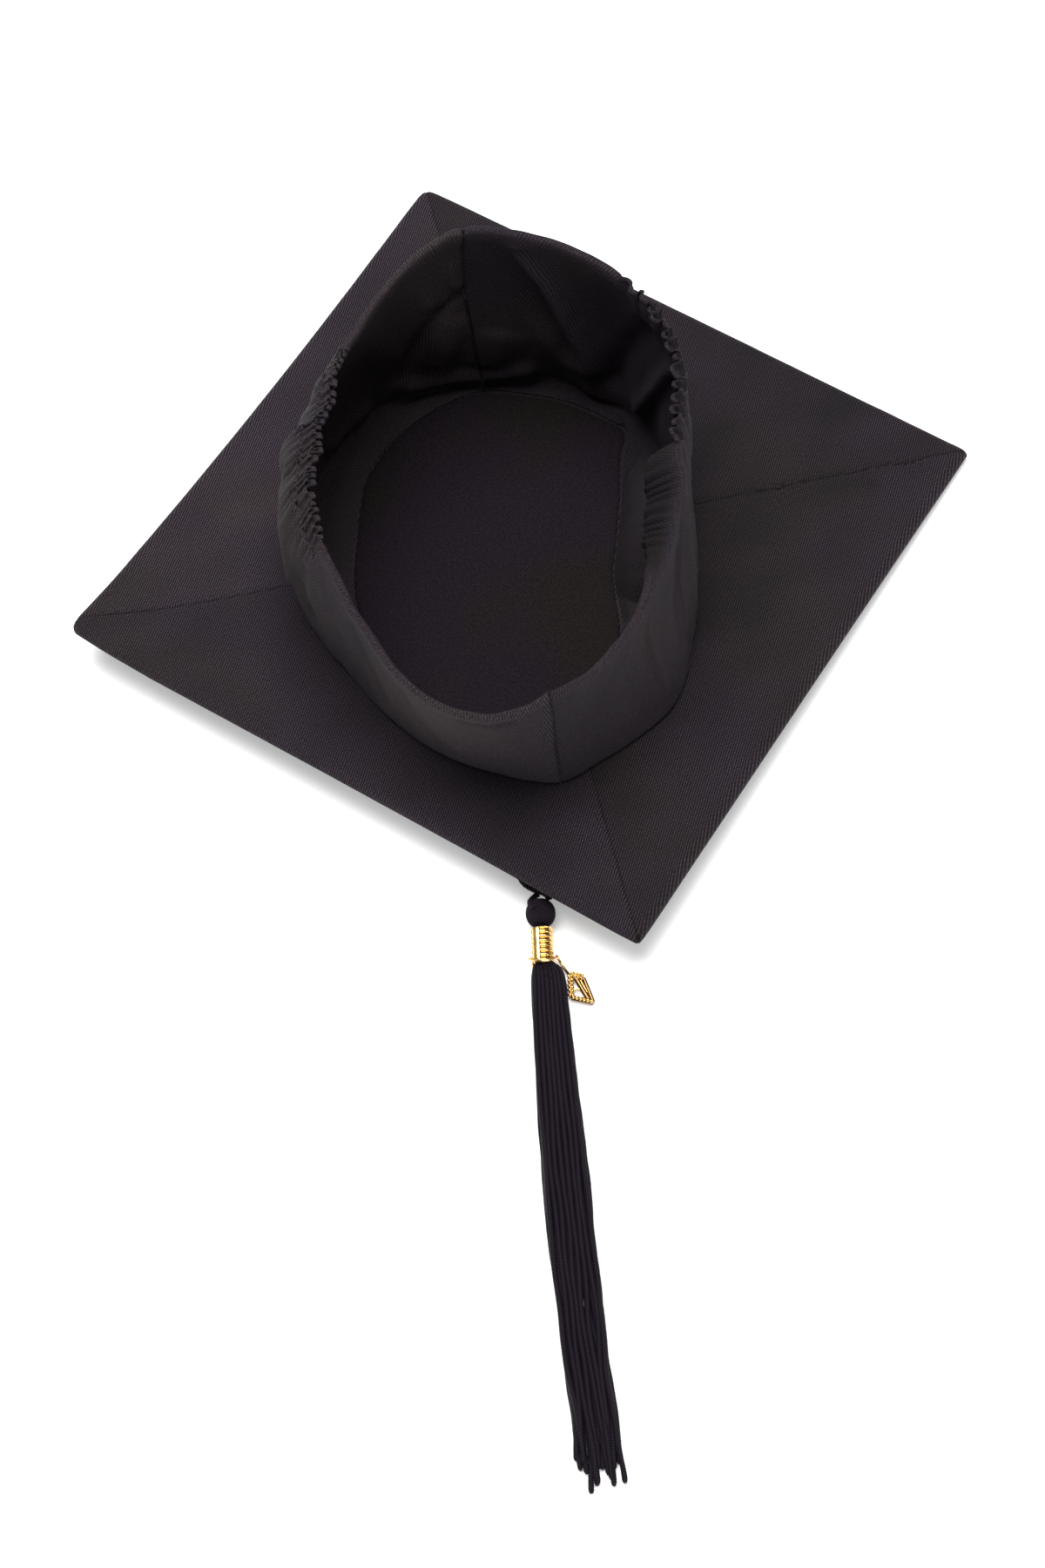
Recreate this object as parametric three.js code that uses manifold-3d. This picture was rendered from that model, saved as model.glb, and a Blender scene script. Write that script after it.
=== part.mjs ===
import * as THREE from 'three';
import { mergeVertices } from 'three/addons/utils/BufferGeometryUtils.js';
import Module from 'manifold-3d';

// A mortarboard lying upside down with its tassel in front of it, in millimetres, +Z up.
// The hat has a frame of its own: its origin is the middle of the board on the underside,
// which faces up, and the front corner points to -Y. The whole hat leans on its button and
// on the back right edge. The tassel has a frame of its own too: its origin is the middle
// of the knot, and +X runs along the skirt.

const wasm = await Module();
wasm.setup();

// Board and its cloth
const BOARD_SIDE = 241.3;
const HALF_SIDE = BOARD_SIDE / 2;
const HALF_DIAGONAL = BOARD_SIDE / Math.SQRT2;
const BOARD_THICKNESS = 3.2;
const PANEL_THICKNESS = 1.0;
const GAP = 0.3;
const BOARD_BOTTOM = PANEL_THICKNESS + GAP + BOARD_THICKNESS;

// One row per corner, going round from the front: where it points, and its rounding
const CORNERS = [
  { name: 'front', angle: -90, round: 3 },
  { name: 'right', angle: 0, round: 3 },
  { name: 'back', angle: 90, round: 6 },
  { name: 'left', angle: 180, round: 4 },
];

// One row per edge: its cloth panel, and how far the middle of the edge bows inward
const EDGES = [
  { name: 'front_right', bow: 0.2 },
  { name: 'back_right', bow: 0.0 },
  { name: 'back_left', bow: 2.8 },
  { name: 'front_left', bow: 0.4 },
];

// Button under the board, with the neck that the tassel's loop goes round
const NECK_RADIUS = 3.5;
const NECK_HEIGHT = 2.8;
const BUTTON_RADIUS = 11;
const BUTTON_FLAT_RADIUS = 7;
const BUTTON_HEIGHT = 3.2;
const BUTTON_END = BOARD_BOTTOM + GAP + NECK_HEIGHT + BUTTON_HEIGHT;

// The lean that puts the button's rim and the back right edge on the surface together
const LEAN = Math.atan((BUTTON_END - BOARD_BOTTOM) / (HALF_SIDE - BUTTON_FLAT_RADIUS));
const LEAN_AXIS = new THREE.Vector3(-1, 1, 0).normalize();
const HAT_HEIGHT = BOARD_BOTTOM * Math.cos(LEAN) + HALF_SIDE * Math.sin(LEAN);

// Soft cap: the middle of its opening, its cloth, the strip at its foot and the hem at its rim
const CAP_CENTRE = new THREE.Vector2(-13, -14);
const WALL_CLOTH = 1.8;
const STRIP_CLOTH = 1.2;
const LINING_CLOTH = 1.6;
const LINING_CLEARANCE = 0.6;
const LINING_STEP_ANGLE = 5;
const HEM_WIDTH = 9;
const SEAM_ANGLES = { front: -90.3, back: 83 };
const SEAM_GAP_ANGLE = 0.2;
const SECTION_STEP_ANGLE = 5.2;

// One row per section of the cap, by its angle round the opening. Radii are to the outside of
// the wall: at the foot, low and high on the wall, and at the rim. strip is the inner edge of
// the flat strip, puff how far the strip arches off the board, and hem the rim's thickness.
const SECTIONS = [
  { angle: -90, strip: 78, puff: 0, foot: 91, low: 91.5, high: 91, rim: 89.8, height: 61, hem: 3 },
  { angle: -80, strip: 73, puff: 0, foot: 87.8, low: 87, high: 84.8, rim: 83.2, height: 60, hem: 3 },
  { angle: -70, strip: 66, puff: 0, foot: 86.3, low: 84, high: 80, rim: 76.8, height: 60, hem: 3 },
  { angle: -55, strip: 58, puff: 2, foot: 84.8, low: 81, high: 74.5, rim: 69.8, height: 60.5, hem: 3.4 },
  { angle: -40, strip: 50, puff: 4, foot: 78.5, low: 75.5, high: 69.8, rim: 65, height: 62.5, hem: 4.6 },
  { angle: -26, strip: 44.5, puff: 6.5, foot: 74.5, low: 72.3, high: 67.6, rim: 63, height: 65, hem: 6 },
  { angle: -12, strip: 42.5, puff: 8, foot: 74, low: 72.2, high: 68, rim: 63, height: 69, hem: 6.5 },
  { angle: 0, strip: 44.5, puff: 8, foot: 74.8, low: 73.8, high: 70.5, rim: 65, height: 73, hem: 4 },
  { angle: 12, strip: 49, puff: 6.5, foot: 77, low: 77, high: 76, rim: 72.5, height: 76, hem: 3 },
  { angle: 24, strip: 57, puff: 4, foot: 80.5, low: 81, high: 81, rim: 80, height: 79, hem: 3 },
  { angle: 36, strip: 70, puff: 1, foot: 85, low: 85, high: 85.5, rim: 84.5, height: 82, hem: 3 },
  { angle: 48, strip: 80.5, puff: 0, foot: 89, low: 87.5, high: 89, rim: 87.2, height: 85, hem: 3 },
  { angle: 60, strip: 81.7, puff: 0, foot: 91, low: 88, high: 91, rim: 89.5, height: 87, hem: 3 },
  { angle: 72, strip: 82, puff: 0, foot: 90, low: 86.8, high: 91.8, rim: 92.3, height: 88, hem: 3 },
  { angle: 83, strip: 82.8, puff: 0, foot: 88.8, low: 86.2, high: 91.2, rim: 93.5, height: 88.5, hem: 3 },
  { angle: 94, strip: 79, puff: 0, foot: 88.8, low: 86.2, high: 87.2, rim: 87.2, height: 88, hem: 3 },
  { angle: 104, strip: 75, puff: 0, foot: 89, low: 85.5, high: 83, rim: 80.2, height: 86.5, hem: 3 },
  { angle: 114, strip: 71, puff: 0, foot: 87, low: 84.2, high: 80, rim: 74.8, height: 85, hem: 3 },
  { angle: 126, strip: 66, puff: 0, foot: 84, low: 83, high: 79, rim: 70.6, height: 82.5, hem: 3 },
  { angle: 138, strip: 59.5, puff: 0, foot: 80.5, low: 82, high: 79.5, rim: 68, height: 81, hem: 3 },
  { angle: 150, strip: 55.5, puff: 0, foot: 77.5, low: 81, high: 80.5, rim: 66.6, height: 79.5, hem: 3 },
  { angle: 165, strip: 54, puff: 0, foot: 75, low: 79, high: 79.5, rim: 66.6, height: 78, hem: 3 },
  { angle: 180, strip: 54, puff: 0, foot: 73, low: 76.5, high: 77, rim: 67.8, height: 75, hem: 3 },
  { angle: 193, strip: 55, puff: 0, foot: 70.2, low: 73.5, high: 74.5, rim: 69.6, height: 70, hem: 3 },
  { angle: 205, strip: 57, puff: 0, foot: 69.3, low: 71.5, high: 72.5, rim: 70.4, height: 66, hem: 3 },
  { angle: 222, strip: 61, puff: 0, foot: 72.5, low: 74.2, high: 76.2, rim: 77, height: 62, hem: 3 },
  { angle: 240, strip: 68, puff: 0, foot: 79, low: 81.5, high: 85, rim: 86.6, height: 59, hem: 3 },
  { angle: 255, strip: 74, puff: 0, foot: 84.5, low: 87.5, high: 90.2, rim: 91.4, height: 57.5, hem: 3 },
];

// Where low and high lie, as shares of the wall's height
const LOW_SHARE = 0.35;
const HIGH_SHARE = 0.7;

// Heights of the wall's stations below its hem, as shares of its height
const WALL_STATIONS = [0.1, 0.24, 0.4, 0.56, 0.72];

// One row per soft fold of the wall: its angle at the foot and at the rim, its half width as
// an angle, how far it stands out (or in, below zero), and the shares of height it runs between
const FOLDS = [
  { foot: 53, rim: 72, width: 6, depth: -3.6, from: -0.1, to: 0.85 },
  { foot: 94, rim: 90, width: 5, depth: -3.0, from: 0.3, to: 0.75 },
  { foot: 112, rim: 118, width: 8, depth: 2.2, from: 0.2, to: 0.8 },
  { foot: 146, rim: 146, width: 6, depth: -3.4, from: 0.3, to: 1.1 },
  { foot: 166, rim: 163, width: 7, depth: -2.2, from: 0.3, to: 1.1 },
  { foot: 214, rim: 221, width: 9, depth: -1.6, from: 0.1, to: 1.1 },
  { foot: 244, rim: 247, width: 8, depth: 1.2, from: 0.2, to: 1.1 },
  { foot: -66, rim: -56, width: 7, depth: -1.6, from: 0.0, to: 0.9 },
  { foot: -33, rim: -16, width: 6, depth: 1.8, from: 0.1, to: 1.1 },
];
const FOLD_FADE = 0.18;

// Elastic casings in the rim at the two sides, one row each
const GATHERS = [
  { side: 'left', from: 127, to: 196, ruffles: 20 },
  { side: 'right', from: -4, to: 46, ruffles: 14 },
];
const CASING_HEIGHT = 9;
const CASING_HALF_THICKNESS = 1.7;
const RUFFLE_SIDE = 1.3;
const RUFFLE_RISE = 0.9;
const RUFFLE_STEPS = 4;
const CASING_END_ANGLE = 0.5;

// Tassel: the knot's place, the way the skirt points, and the sizes of its head
const KNOT_PLACE = new THREE.Vector3(-29.4, -147, 5.55);
const TASSEL_DIRECTION = new THREE.Vector2(-0.195, -0.981);
const KNOT_RADIUS = 5.3;
const FERRULE_WIDTH = 7.6;
const FERRULE_HEIGHT = 7.4;
const FERRULE_SQUARENESS = 2.6;
const FERRULE_WALL = 0.6;
const FERRULE_DROP = 0.4;
const FERRULE_START = 6.4;
const FERRULE_END = 19.7;

// Cord of the tassel's loop, one list of hand laid points for each strand
const CORD_DIAMETER = 2.4;
const CORD_SIDES = 8;
const CORD_STEP = 4.3;
const CORD_ROUTES = {
  left: [
    [-0.6, 5.2, 4.93], [-3.2, 4.4, 5.06], [-5.1, 2.4, 5.22], [-5.8, -0.6, 5.36],
    [-6.3, -4.5, 5.53], [-7.8, -9.5, 5.79], [-9.8, -15, 5.0], [-12.2, -22, 3.3],
    [-15, -30, 1.85], [-18, -39, 1.28], [-22.6, -54, 1.25], [-27.6, -74, 1.25],
    [-31, -95, 1.25], [-32.4, -110, 1.3], [-32, -120, 1.5], [-30.4, -128, 2.2],
    [-28.4, -133.2, 3.2], [-27.0, -136.8, 4.3], [-25.9, -140.2, 6.0], [-25.9, -142.4, 7.8],
  ],
  right: [
    [0.2, 5.2, 4.90], [2.8, 4.4, 4.83], [4.7, 2.4, 4.83], [5.4, -0.6, 4.92],
    [5.1, -4.5, 5.09], [3.6, -9.5, 5.34], [1.4, -15, 4.6], [-1.4, -22, 3.1],
    [-4.4, -30, 1.8], [-7.6, -39, 1.28], [-12.6, -54, 1.25], [-17.8, -74, 1.25],
    [-21.4, -95, 1.25], [-23, -112, 1.25], [-23.6, -122, 1.25], [-24.8, -130, 1.25],
    [-26.8, -135.6, 1.3], [-28.6, -138.4, 2.0], [-30.6, -140.8, 3.7],
  ],
};

// Skirt, one row per station along it: how far it strays to the right, its width and height
const SKIRT_STATIONS = [
  { along: 20, side: 0.5, width: 9.2, height: 6.6 },
  { along: 22, side: 1.4, width: 11.6, height: 6.4 },
  { along: 26, side: 1.8, width: 12.7, height: 6.2 },
  { along: 33, side: 2.0, width: 13.2, height: 5.9 },
  { along: 48, side: 2.5, width: 14.1, height: 5.6 },
  { along: 63, side: 3.1, width: 14.8, height: 5.4 },
  { along: 78, side: 3.8, width: 15.6, height: 5.4 },
  { along: 100, side: 4.7, width: 16.1, height: 5.4 },
  { along: 128, side: 6.2, width: 16.6, height: 5.4 },
  { along: 145, side: 7.6, width: 16.1, height: 5.4 },
  { along: 162, side: 9.0, width: 15.9, height: 5.3 },
  { along: 180, side: 10.5, width: 15.3, height: 5.2 },
  { along: 208, side: 12.2, width: 14.4, height: 5.0 },
];

// One row per lock of the skirt: its place across (from -1 to 1), its layer and its length
const LOCKS = [
  { across: -1, layer: 0, length: 203 },
  { across: -0.6, layer: 0, length: 206 },
  { across: -0.2, layer: 0, length: 208 },
  { across: 0.2, layer: 0, length: 204 },
  { across: 0.6, layer: 0, length: 207 },
  { across: 1, layer: 0, length: 201 },
  { across: -0.8, layer: 1, length: 200 },
  { across: -0.4, layer: 1, length: 204.5 },
  { across: 0, layer: 1, length: 206.5 },
  { across: 0.4, layer: 1, length: 202 },
  { across: 0.8, layer: 1, length: 198 },
];
const LOCK_RADIUS = 1.45;
const LOCK_SIDES = 6;
const LOCK_STEPS = 12;
const LOCK_TIP = 5;
const SKIRT_DROOP = 14;
const HEAD_CORE_RADIUS = 2.7;
const FLOOR_CLEARANCE = 0.05;

// Gold coloured ring round the ferrule, and the openwork drop on it with its small link
const RING_RADIUS = 5.9;
const RING_WIRE = 0.5;
const RING_PLACE = new THREE.Vector2(16.8, 0.35);
const RING_LEAN_ANGLE = -28;
const LINK_RADIUS = 2.1;
const LINK_WIRE = 0.35;
const LINK_ANGLE = 56;
const LINK_SWING = 25;
const LINK_CLEARANCE = 0.2;
const DROP_THICKNESS = 1.6;

// Corners of the drop's outline and of its opening, as places along and beside the skirt
const DROP_OUTLINE = [
  { along: 16.3, side: 6.7 },
  { along: 21.5, side: 9.1 },
  { along: 31.3, side: 9.1 },
  { along: 33.7, side: 17.9 },
  { along: 23.0, side: 14.8 },
];
const DROP_OPENING = [
  { along: 23.0, side: 10.7 },
  { along: 30.1, side: 10.7 },
  { along: 31.6, side: 15.7 },
  { along: 24.2, side: 13.5 },
];

// Colours and finishes, one row each
const FINISHES = {
  twill: { color: 0x2e2b2f, roughness: 0.9, metalness: 0 },
  lining: { color: 0x2a272b, roughness: 0.85, metalness: 0 },
  cord: { color: 0x1d1b1f, roughness: 0.6, metalness: 0 },
  gold: { color: 0xd9a441, roughness: 0.25, metalness: 1 },
};

function radians(degrees) {
  return THREE.MathUtils.degToRad(degrees);
}

function piece(name, geometry, finish) {
  const mesh = new THREE.Mesh(geometry, new THREE.MeshStandardMaterial(FINISHES[finish]));
  mesh.name = name;
  return mesh;
}

// Keeps the positions alone and merges the points that several faces share
function welded(geometry) {
  const bare = geometry.clone();
  bare.deleteAttribute('normal');
  bare.deleteAttribute('uv');
  return mergeVertices(bare, 1e-4);
}

function asSolid(geometry) {
  const merged = welded(geometry);
  return new wasm.Manifold(new wasm.Mesh({
    numProp: 3,
    vertProperties: new Float32Array(merged.attributes.position.array),
    triVerts: new Uint32Array(merged.index.array),
  }));
}

function asGeometry(solid) {
  const mesh = solid.getMesh();
  const geometry = new THREE.BufferGeometry();
  geometry.setAttribute('position', new THREE.BufferAttribute(mesh.vertProperties, 3));
  geometry.setIndex(new THREE.BufferAttribute(mesh.triVerts, 1));
  return geometry;
}

// A smooth curve through rows of a table: the value of a column at x, where key holds the
// rows' own x. Past either end the end row holds.
function along(rows, key, column, x) {
  const last = rows.length - 1;
  if (x <= rows[0][key]) return rows[0][column];
  if (x >= rows[last][key]) return rows[last][column];
  let i = 0;
  while (rows[i + 1][key] < x) i += 1;
  const slope = (k) => {
    const a = rows[Math.max(k - 1, 0)];
    const b = rows[Math.min(k + 1, last)];
    return (b[column] - a[column]) / (b[key] - a[key]);
  };
  const span = rows[i + 1][key] - rows[i][key];
  const t = (x - rows[i][key]) / span;
  const rise = rows[i + 1][column] - rows[i][column];
  const enter = slope(i) * span;
  const leave = slope(i + 1) * span;
  return rows[i][column] + t * enter + t * t * (3 * rise - 2 * enter - leave)
    + t * t * t * (enter + leave - 2 * rise);
}

// The section rows with the first and last few repeated a full turn on, so that a curve
// through them closes
const ROUND_SECTIONS = [
  ...SECTIONS.slice(-3).map((row) => ({ ...row, angle: row.angle - 360 })),
  ...SECTIONS,
  ...SECTIONS.slice(0, 3).map((row) => ({ ...row, angle: row.angle + 360 })),
];

function section(angle) {
  const turned = angle > 262 ? angle - 360 : angle;
  const row = { angle };
  for (const column of ['strip', 'puff', 'foot', 'low', 'high', 'rim', 'height', 'hem']) {
    row[column] = along(ROUND_SECTIONS, 'angle', column, turned);
  }
  return row;
}

function foldAt(angle, share) {
  let offset = 0;
  for (const fold of FOLDS) {
    const middle = THREE.MathUtils.lerp(fold.foot, fold.rim, share);
    const away = (angle - middle) / fold.width;
    const rise = THREE.MathUtils.smoothstep(share, fold.from - FOLD_FADE, fold.from + FOLD_FADE);
    const fall = 1 - THREE.MathUtils.smoothstep(share, fold.to - FOLD_FADE, fold.to + FOLD_FADE);
    offset += fold.depth * Math.exp(-away * away) * rise * fall;
  }
  return offset;
}

// Radius of the wall's outside at a share of its height
function wallRadius(row, share) {
  const steps = [
    { share: 0, radius: row.foot },
    { share: LOW_SHARE, radius: row.low },
    { share: HIGH_SHARE, radius: row.high },
    { share: 1, radius: row.rim },
  ];
  return along(steps, 'share', 'radius', share) + foldAt(row.angle, share);
}

// Offsets a line of stations to both sides by its half thickness: one closed outline
function thickened(stations) {
  const outer = [];
  const inner = [];
  stations.forEach((station, i) => {
    const before = stations[Math.max(i - 1, 0)].point;
    const after = stations[Math.min(i + 1, stations.length - 1)].point;
    const way = after.clone().sub(before).normalize();
    const normal = new THREE.Vector2(way.y, -way.x).multiplyScalar(station.half);
    outer.push(station.point.clone().add(normal));
    inner.push(station.point.clone().sub(normal));
  });
  return [...inner, ...outer.reverse()];
}

// Outline of the wall at one angle, as radius and height: strip, foot, wall and hem
function wallOutline(row, isGathered) {
  const stripHalf = STRIP_CLOTH / 2;
  const wallHalf = WALL_CLOTH / 2;
  const stripHeight = GAP + stripHalf;
  const footMiddle = row.foot - wallHalf;
  const reach = footMiddle - row.strip;
  const arched = (share) => stripHeight + row.puff * Math.sin(Math.PI * share) ** 2;
  const stations = [
    { point: new THREE.Vector2(row.strip, stripHeight), half: stripHalf },
    { point: new THREE.Vector2(row.strip + reach * 0.3, arched(0.3)), half: stripHalf },
    { point: new THREE.Vector2(row.strip + reach * 0.6, arched(0.6)), half: stripHalf },
    { point: new THREE.Vector2(footMiddle - 3, stripHeight), half: stripHalf },
    { point: new THREE.Vector2(footMiddle - 0.4, stripHeight + 0.5), half: stripHalf },
  ];
  for (const share of WALL_STATIONS) {
    const radius = wallRadius(row, share) - wallHalf;
    stations.push({ point: new THREE.Vector2(radius, row.height * share), half: wallHalf });
  }
  const top = isGathered ? row.height - CASING_HEIGHT - GAP : row.height;
  const hemHalf = isGathered ? wallHalf : row.hem / 2;
  const ends = isGathered
    ? [{ below: 2.4, half: wallHalf }, { below: 1.2, half: wallHalf }, { below: 0, half: wallHalf }]
    : [{ below: HEM_WIDTH, half: hemHalf }, { below: 1, half: hemHalf }, { below: 0, half: hemHalf * 0.6 }];
  for (const end of ends) {
    const height = top - end.below;
    const radius = wallRadius(row, height / row.height) - hemHalf;
    stations.push({ point: new THREE.Vector2(radius, height), half: end.half });
  }
  return thickened(stations);
}

// Puts an outline of radii and heights upright at its angle round the cap's centre
function placed(outline, angle) {
  const turn = radians(angle);
  return outline.map((point) => new THREE.Vector3(
    CAP_CENTRE.x + point.x * Math.cos(turn),
    CAP_CENTRE.y + point.x * Math.sin(turn),
    point.y,
  ));
}

// A closed skin over a row of outlines, whose ends are closed from side to side
function lofted(outlines) {
  const count = outlines[0].length;
  const points = outlines.flat();
  const faces = [];
  for (let i = 0; i < outlines.length - 1; i += 1) {
    for (let j = 0; j < count; j += 1) {
      const a = i * count + j;
      const b = i * count + ((j + 1) % count);
      faces.push(a, b, a + count, b, b + count, a + count);
    }
  }
  const capStart = (outlines.length - 1) * count;
  for (let j = 0; j < count / 2 - 1; j += 1) {
    const far = count - 1 - j;
    faces.push(j, far, j + 1, j + 1, far, far - 1);
    const [p, q, r, s] = [j, j + 1, far, far - 1].map((k) => capStart + k);
    faces.push(p, q, r, q, s, r);
  }
  const geometry = new THREE.BufferGeometry();
  geometry.setAttribute('position', new THREE.BufferAttribute(
    new Float32Array(points.flatMap((point) => point.toArray())), 3));
  geometry.setIndex(faces);
  return geometry;
}

// Angles from one end of a stretch to the other, no further apart than a step
function anglesBetween(from, to, step) {
  const count = Math.ceil((to - from) / step);
  return Array.from({ length: count + 1 }, (_, i) => THREE.MathUtils.lerp(from, to, i / count));
}

function wall(side, from, to) {
  const gather = GATHERS.find((row) => row.side === side);
  const edge = CASING_END_ANGLE;
  const plain = (angle) => wallOutline(section(angle), false);
  const gathered = (angle) => wallOutline(section(angle), true);
  const outlines = [];
  const add = (angles, outline) => {
    for (const angle of angles) outlines.push(placed(outline(angle), angle));
  };
  add(anglesBetween(from, gather.from - edge, SECTION_STEP_ANGLE), plain);
  add(anglesBetween(gather.from, gather.to, SECTION_STEP_ANGLE), gathered);
  add(anglesBetween(gather.to + edge, to, SECTION_STEP_ANGLE), plain);
  return piece(`cap_wall_${side}`, lofted(outlines), 'twill');
}

// A ruffled casing that follows the rim, with its elastic inside
function casing({ side, from, to, ruffles }) {
  const start = from + CASING_END_ANGLE;
  const end = to - CASING_END_ANGLE;
  const steps = ruffles * RUFFLE_STEPS;
  const outlines = [];
  for (let i = 0; i <= steps; i += 1) {
    const share = i / steps;
    const row = section(THREE.MathUtils.lerp(start, end, share));
    const phase = 2 * Math.PI * ruffles * share;
    const swell = Math.sin(Math.PI * share) ** 0.35;
    const sway = RUFFLE_SIDE * Math.sin(phase) * swell;
    const rise = RUFFLE_RISE * Math.cos(phase) * swell;
    const stations = [0, 0.45, 1].map((part) => {
      const height = row.height - CASING_HEIGHT * (1 - part) + (part > 0 ? rise * part : 0);
      const radius = wallRadius(row, height / row.height) - WALL_CLOTH;
      const half = CASING_HALF_THICKNESS * (part === 0.45 ? 1 : 0.6);
      return { point: new THREE.Vector2(radius + sway * (0.3 + 0.7 * part), height), half };
    });
    outlines.push(placed(thickened(stations), row.angle));
  }
  return piece(`elastic_gather_${side}`, lofted(outlines), 'twill');
}

function cornerPoint(index) {
  const turn = radians(CORNERS[index % 4].angle);
  return new THREE.Vector2(Math.cos(turn), Math.sin(turn)).multiplyScalar(HALF_DIAGONAL);
}

// The ends of an edge where its corners' rounding begins, and the point that bows it
function edgeLine(index) {
  const start = cornerPoint(index);
  const end = cornerPoint(index + 1);
  const way = end.clone().sub(start).normalize();
  const inward = start.clone().add(end).normalize().negate();
  return {
    start: start.clone().addScaledVector(way, CORNERS[index].round),
    end: end.clone().addScaledVector(way, -CORNERS[(index + 1) % 4].round),
    bend: start.add(end).multiplyScalar(0.5).addScaledVector(inward, 2 * EDGES[index].bow),
    way,
    inward,
  };
}

function board() {
  const outline = new THREE.Shape();
  EDGES.forEach((_, i) => {
    const line = edgeLine(i);
    if (i === 0) outline.moveTo(line.start.x, line.start.y);
    outline.quadraticCurveTo(line.bend.x, line.bend.y, line.end.x, line.end.y);
    const corner = cornerPoint(i + 1);
    const next = edgeLine((i + 1) % 4).start;
    outline.quadraticCurveTo(corner.x, corner.y, next.x, next.y);
  });
  const geometry = new THREE.ExtrudeGeometry(outline, {
    depth: BOARD_THICKNESS, bevelEnabled: false, curveSegments: 6,
  });
  geometry.translate(0, 0, -BOARD_BOTTOM);
  return piece('board', geometry, 'twill');
}

// One of the four cloth triangles of the underside, clear of its neighbours at the mitres
function panel(index) {
  const line = edgeLine(index);
  const clear = GAP * 0.7;
  const mitre = (corner, way) => {
    const point = cornerPoint(corner);
    const inset = CORNERS[corner % 4].round * 0.36;
    return point.setLength(point.length() - inset).addScaledVector(way, clear);
  };
  const first = mitre(index, line.way);
  const last = mitre(index + 1, line.way.clone().negate());
  const middle = line.inward.clone().multiplyScalar(-clear);
  const outline = new THREE.Shape();
  outline.moveTo(first.x, first.y);
  outline.lineTo(line.start.x, line.start.y);
  outline.quadraticCurveTo(line.bend.x, line.bend.y, line.end.x, line.end.y);
  outline.lineTo(last.x, last.y);
  outline.lineTo(middle.x, middle.y);
  const geometry = new THREE.ExtrudeGeometry(outline, {
    depth: PANEL_THICKNESS, bevelEnabled: false, curveSegments: 8,
  });
  geometry.translate(0, 0, -PANEL_THICKNESS);
  return piece(`underside_panel_${EDGES[index].name}`, geometry, 'twill');
}

// The smooth oval inside the cap, clear of the strip all round
function lining() {
  const points = anglesBetween(-90, 270 - LINING_STEP_ANGLE, LINING_STEP_ANGLE).map((angle) => {
    const radius = section(angle).strip - LINING_CLEARANCE;
    return new THREE.Vector2(
      CAP_CENTRE.x + radius * Math.cos(radians(angle)),
      CAP_CENTRE.y + radius * Math.sin(radians(angle)),
    );
  });
  const geometry = new THREE.ExtrudeGeometry(new THREE.Shape(points), {
    depth: LINING_CLOTH, bevelEnabled: false,
  });
  geometry.translate(0, 0, GAP);
  return piece('crown_lining', geometry, 'lining');
}

function turned(profile, segments) {
  const points = profile.map(([radius, height]) => new THREE.Vector2(radius, height));
  return new THREE.LatheGeometry(points, segments).rotateX(Math.PI / 2);
}

function button() {
  const cap = BUTTON_HEIGHT;
  const neckTop = cap + NECK_HEIGHT;
  const profile = [
    [0, 0],
    [BUTTON_FLAT_RADIUS, 0],
    [BUTTON_RADIUS * 0.86, cap * 0.16],
    [BUTTON_RADIUS * 0.97, cap * 0.45],
    [BUTTON_RADIUS, cap * 0.75],
    [BUTTON_RADIUS * 0.96, cap],
    [NECK_RADIUS, cap],
    [NECK_RADIUS, neckTop],
    [0, neckTop],
  ];
  const geometry = turned(profile, 28);
  geometry.translate(0, 0, -BUTTON_END);
  return piece('button', geometry, 'twill');
}

// A cord's tube along its points, with even steps and as many sides as CORD_SIDES
function cord(name, route) {
  const curve = new THREE.CatmullRomCurve3(route.map((point) => new THREE.Vector3(...point)));
  const section2d = new THREE.Shape(Array.from({ length: CORD_SIDES }, (_, i) => {
    const turn = (i + 0.5) / CORD_SIDES * 2 * Math.PI;
    return new THREE.Vector2(Math.cos(turn), Math.sin(turn)).multiplyScalar(CORD_DIAMETER / 2);
  }));
  const geometry = new THREE.ExtrudeGeometry(section2d, {
    steps: Math.round(curve.getLength() / CORD_STEP), extrudePath: curve, bevelEnabled: false,
  });
  return piece(name, geometry, 'cord');
}

function knot() {
  const profile = Array.from({ length: 9 }, (_, i) => {
    const turn = Math.PI * (i / 8 - 0.5);
    return [i % 8 === 0 ? 0 : KNOT_RADIUS * Math.cos(turn), KNOT_RADIUS * Math.sin(turn)];
  });
  const geometry = turned(profile, 18);
  return piece('tassel_knot', geometry, 'cord');
}

// A round outline with its sides pressed flatter, by half its height and half its width
function squared(halfHeight, halfWidth) {
  return Array.from({ length: 24 }, (_, i) => {
    const turn = i / 24 * 2 * Math.PI;
    const spread = Math.abs(Math.cos(turn)) ** FERRULE_SQUARENESS
      + Math.abs(Math.sin(turn)) ** FERRULE_SQUARENESS;
    const stretch = spread ** (-1 / FERRULE_SQUARENESS);
    return new THREE.Vector2(
      halfHeight * stretch * Math.cos(turn),
      halfWidth * stretch * Math.sin(turn),
    );
  });
}

// A band round the head of the skirt, its axis along +X
function ferrule() {
  const outline = new THREE.Shape(squared(FERRULE_HEIGHT / 2, FERRULE_WIDTH / 2));
  outline.holes.push(new THREE.Path(
    squared(FERRULE_HEIGHT / 2 - FERRULE_WALL, FERRULE_WIDTH / 2 - FERRULE_WALL)));
  const geometry = new THREE.ExtrudeGeometry(outline, {
    depth: FERRULE_END - FERRULE_START, bevelEnabled: false,
  });
  geometry.rotateY(Math.PI / 2).translate(FERRULE_START, 0, -FERRULE_DROP);
  return piece('tassel_ferrule', geometry, 'gold');
}

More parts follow.
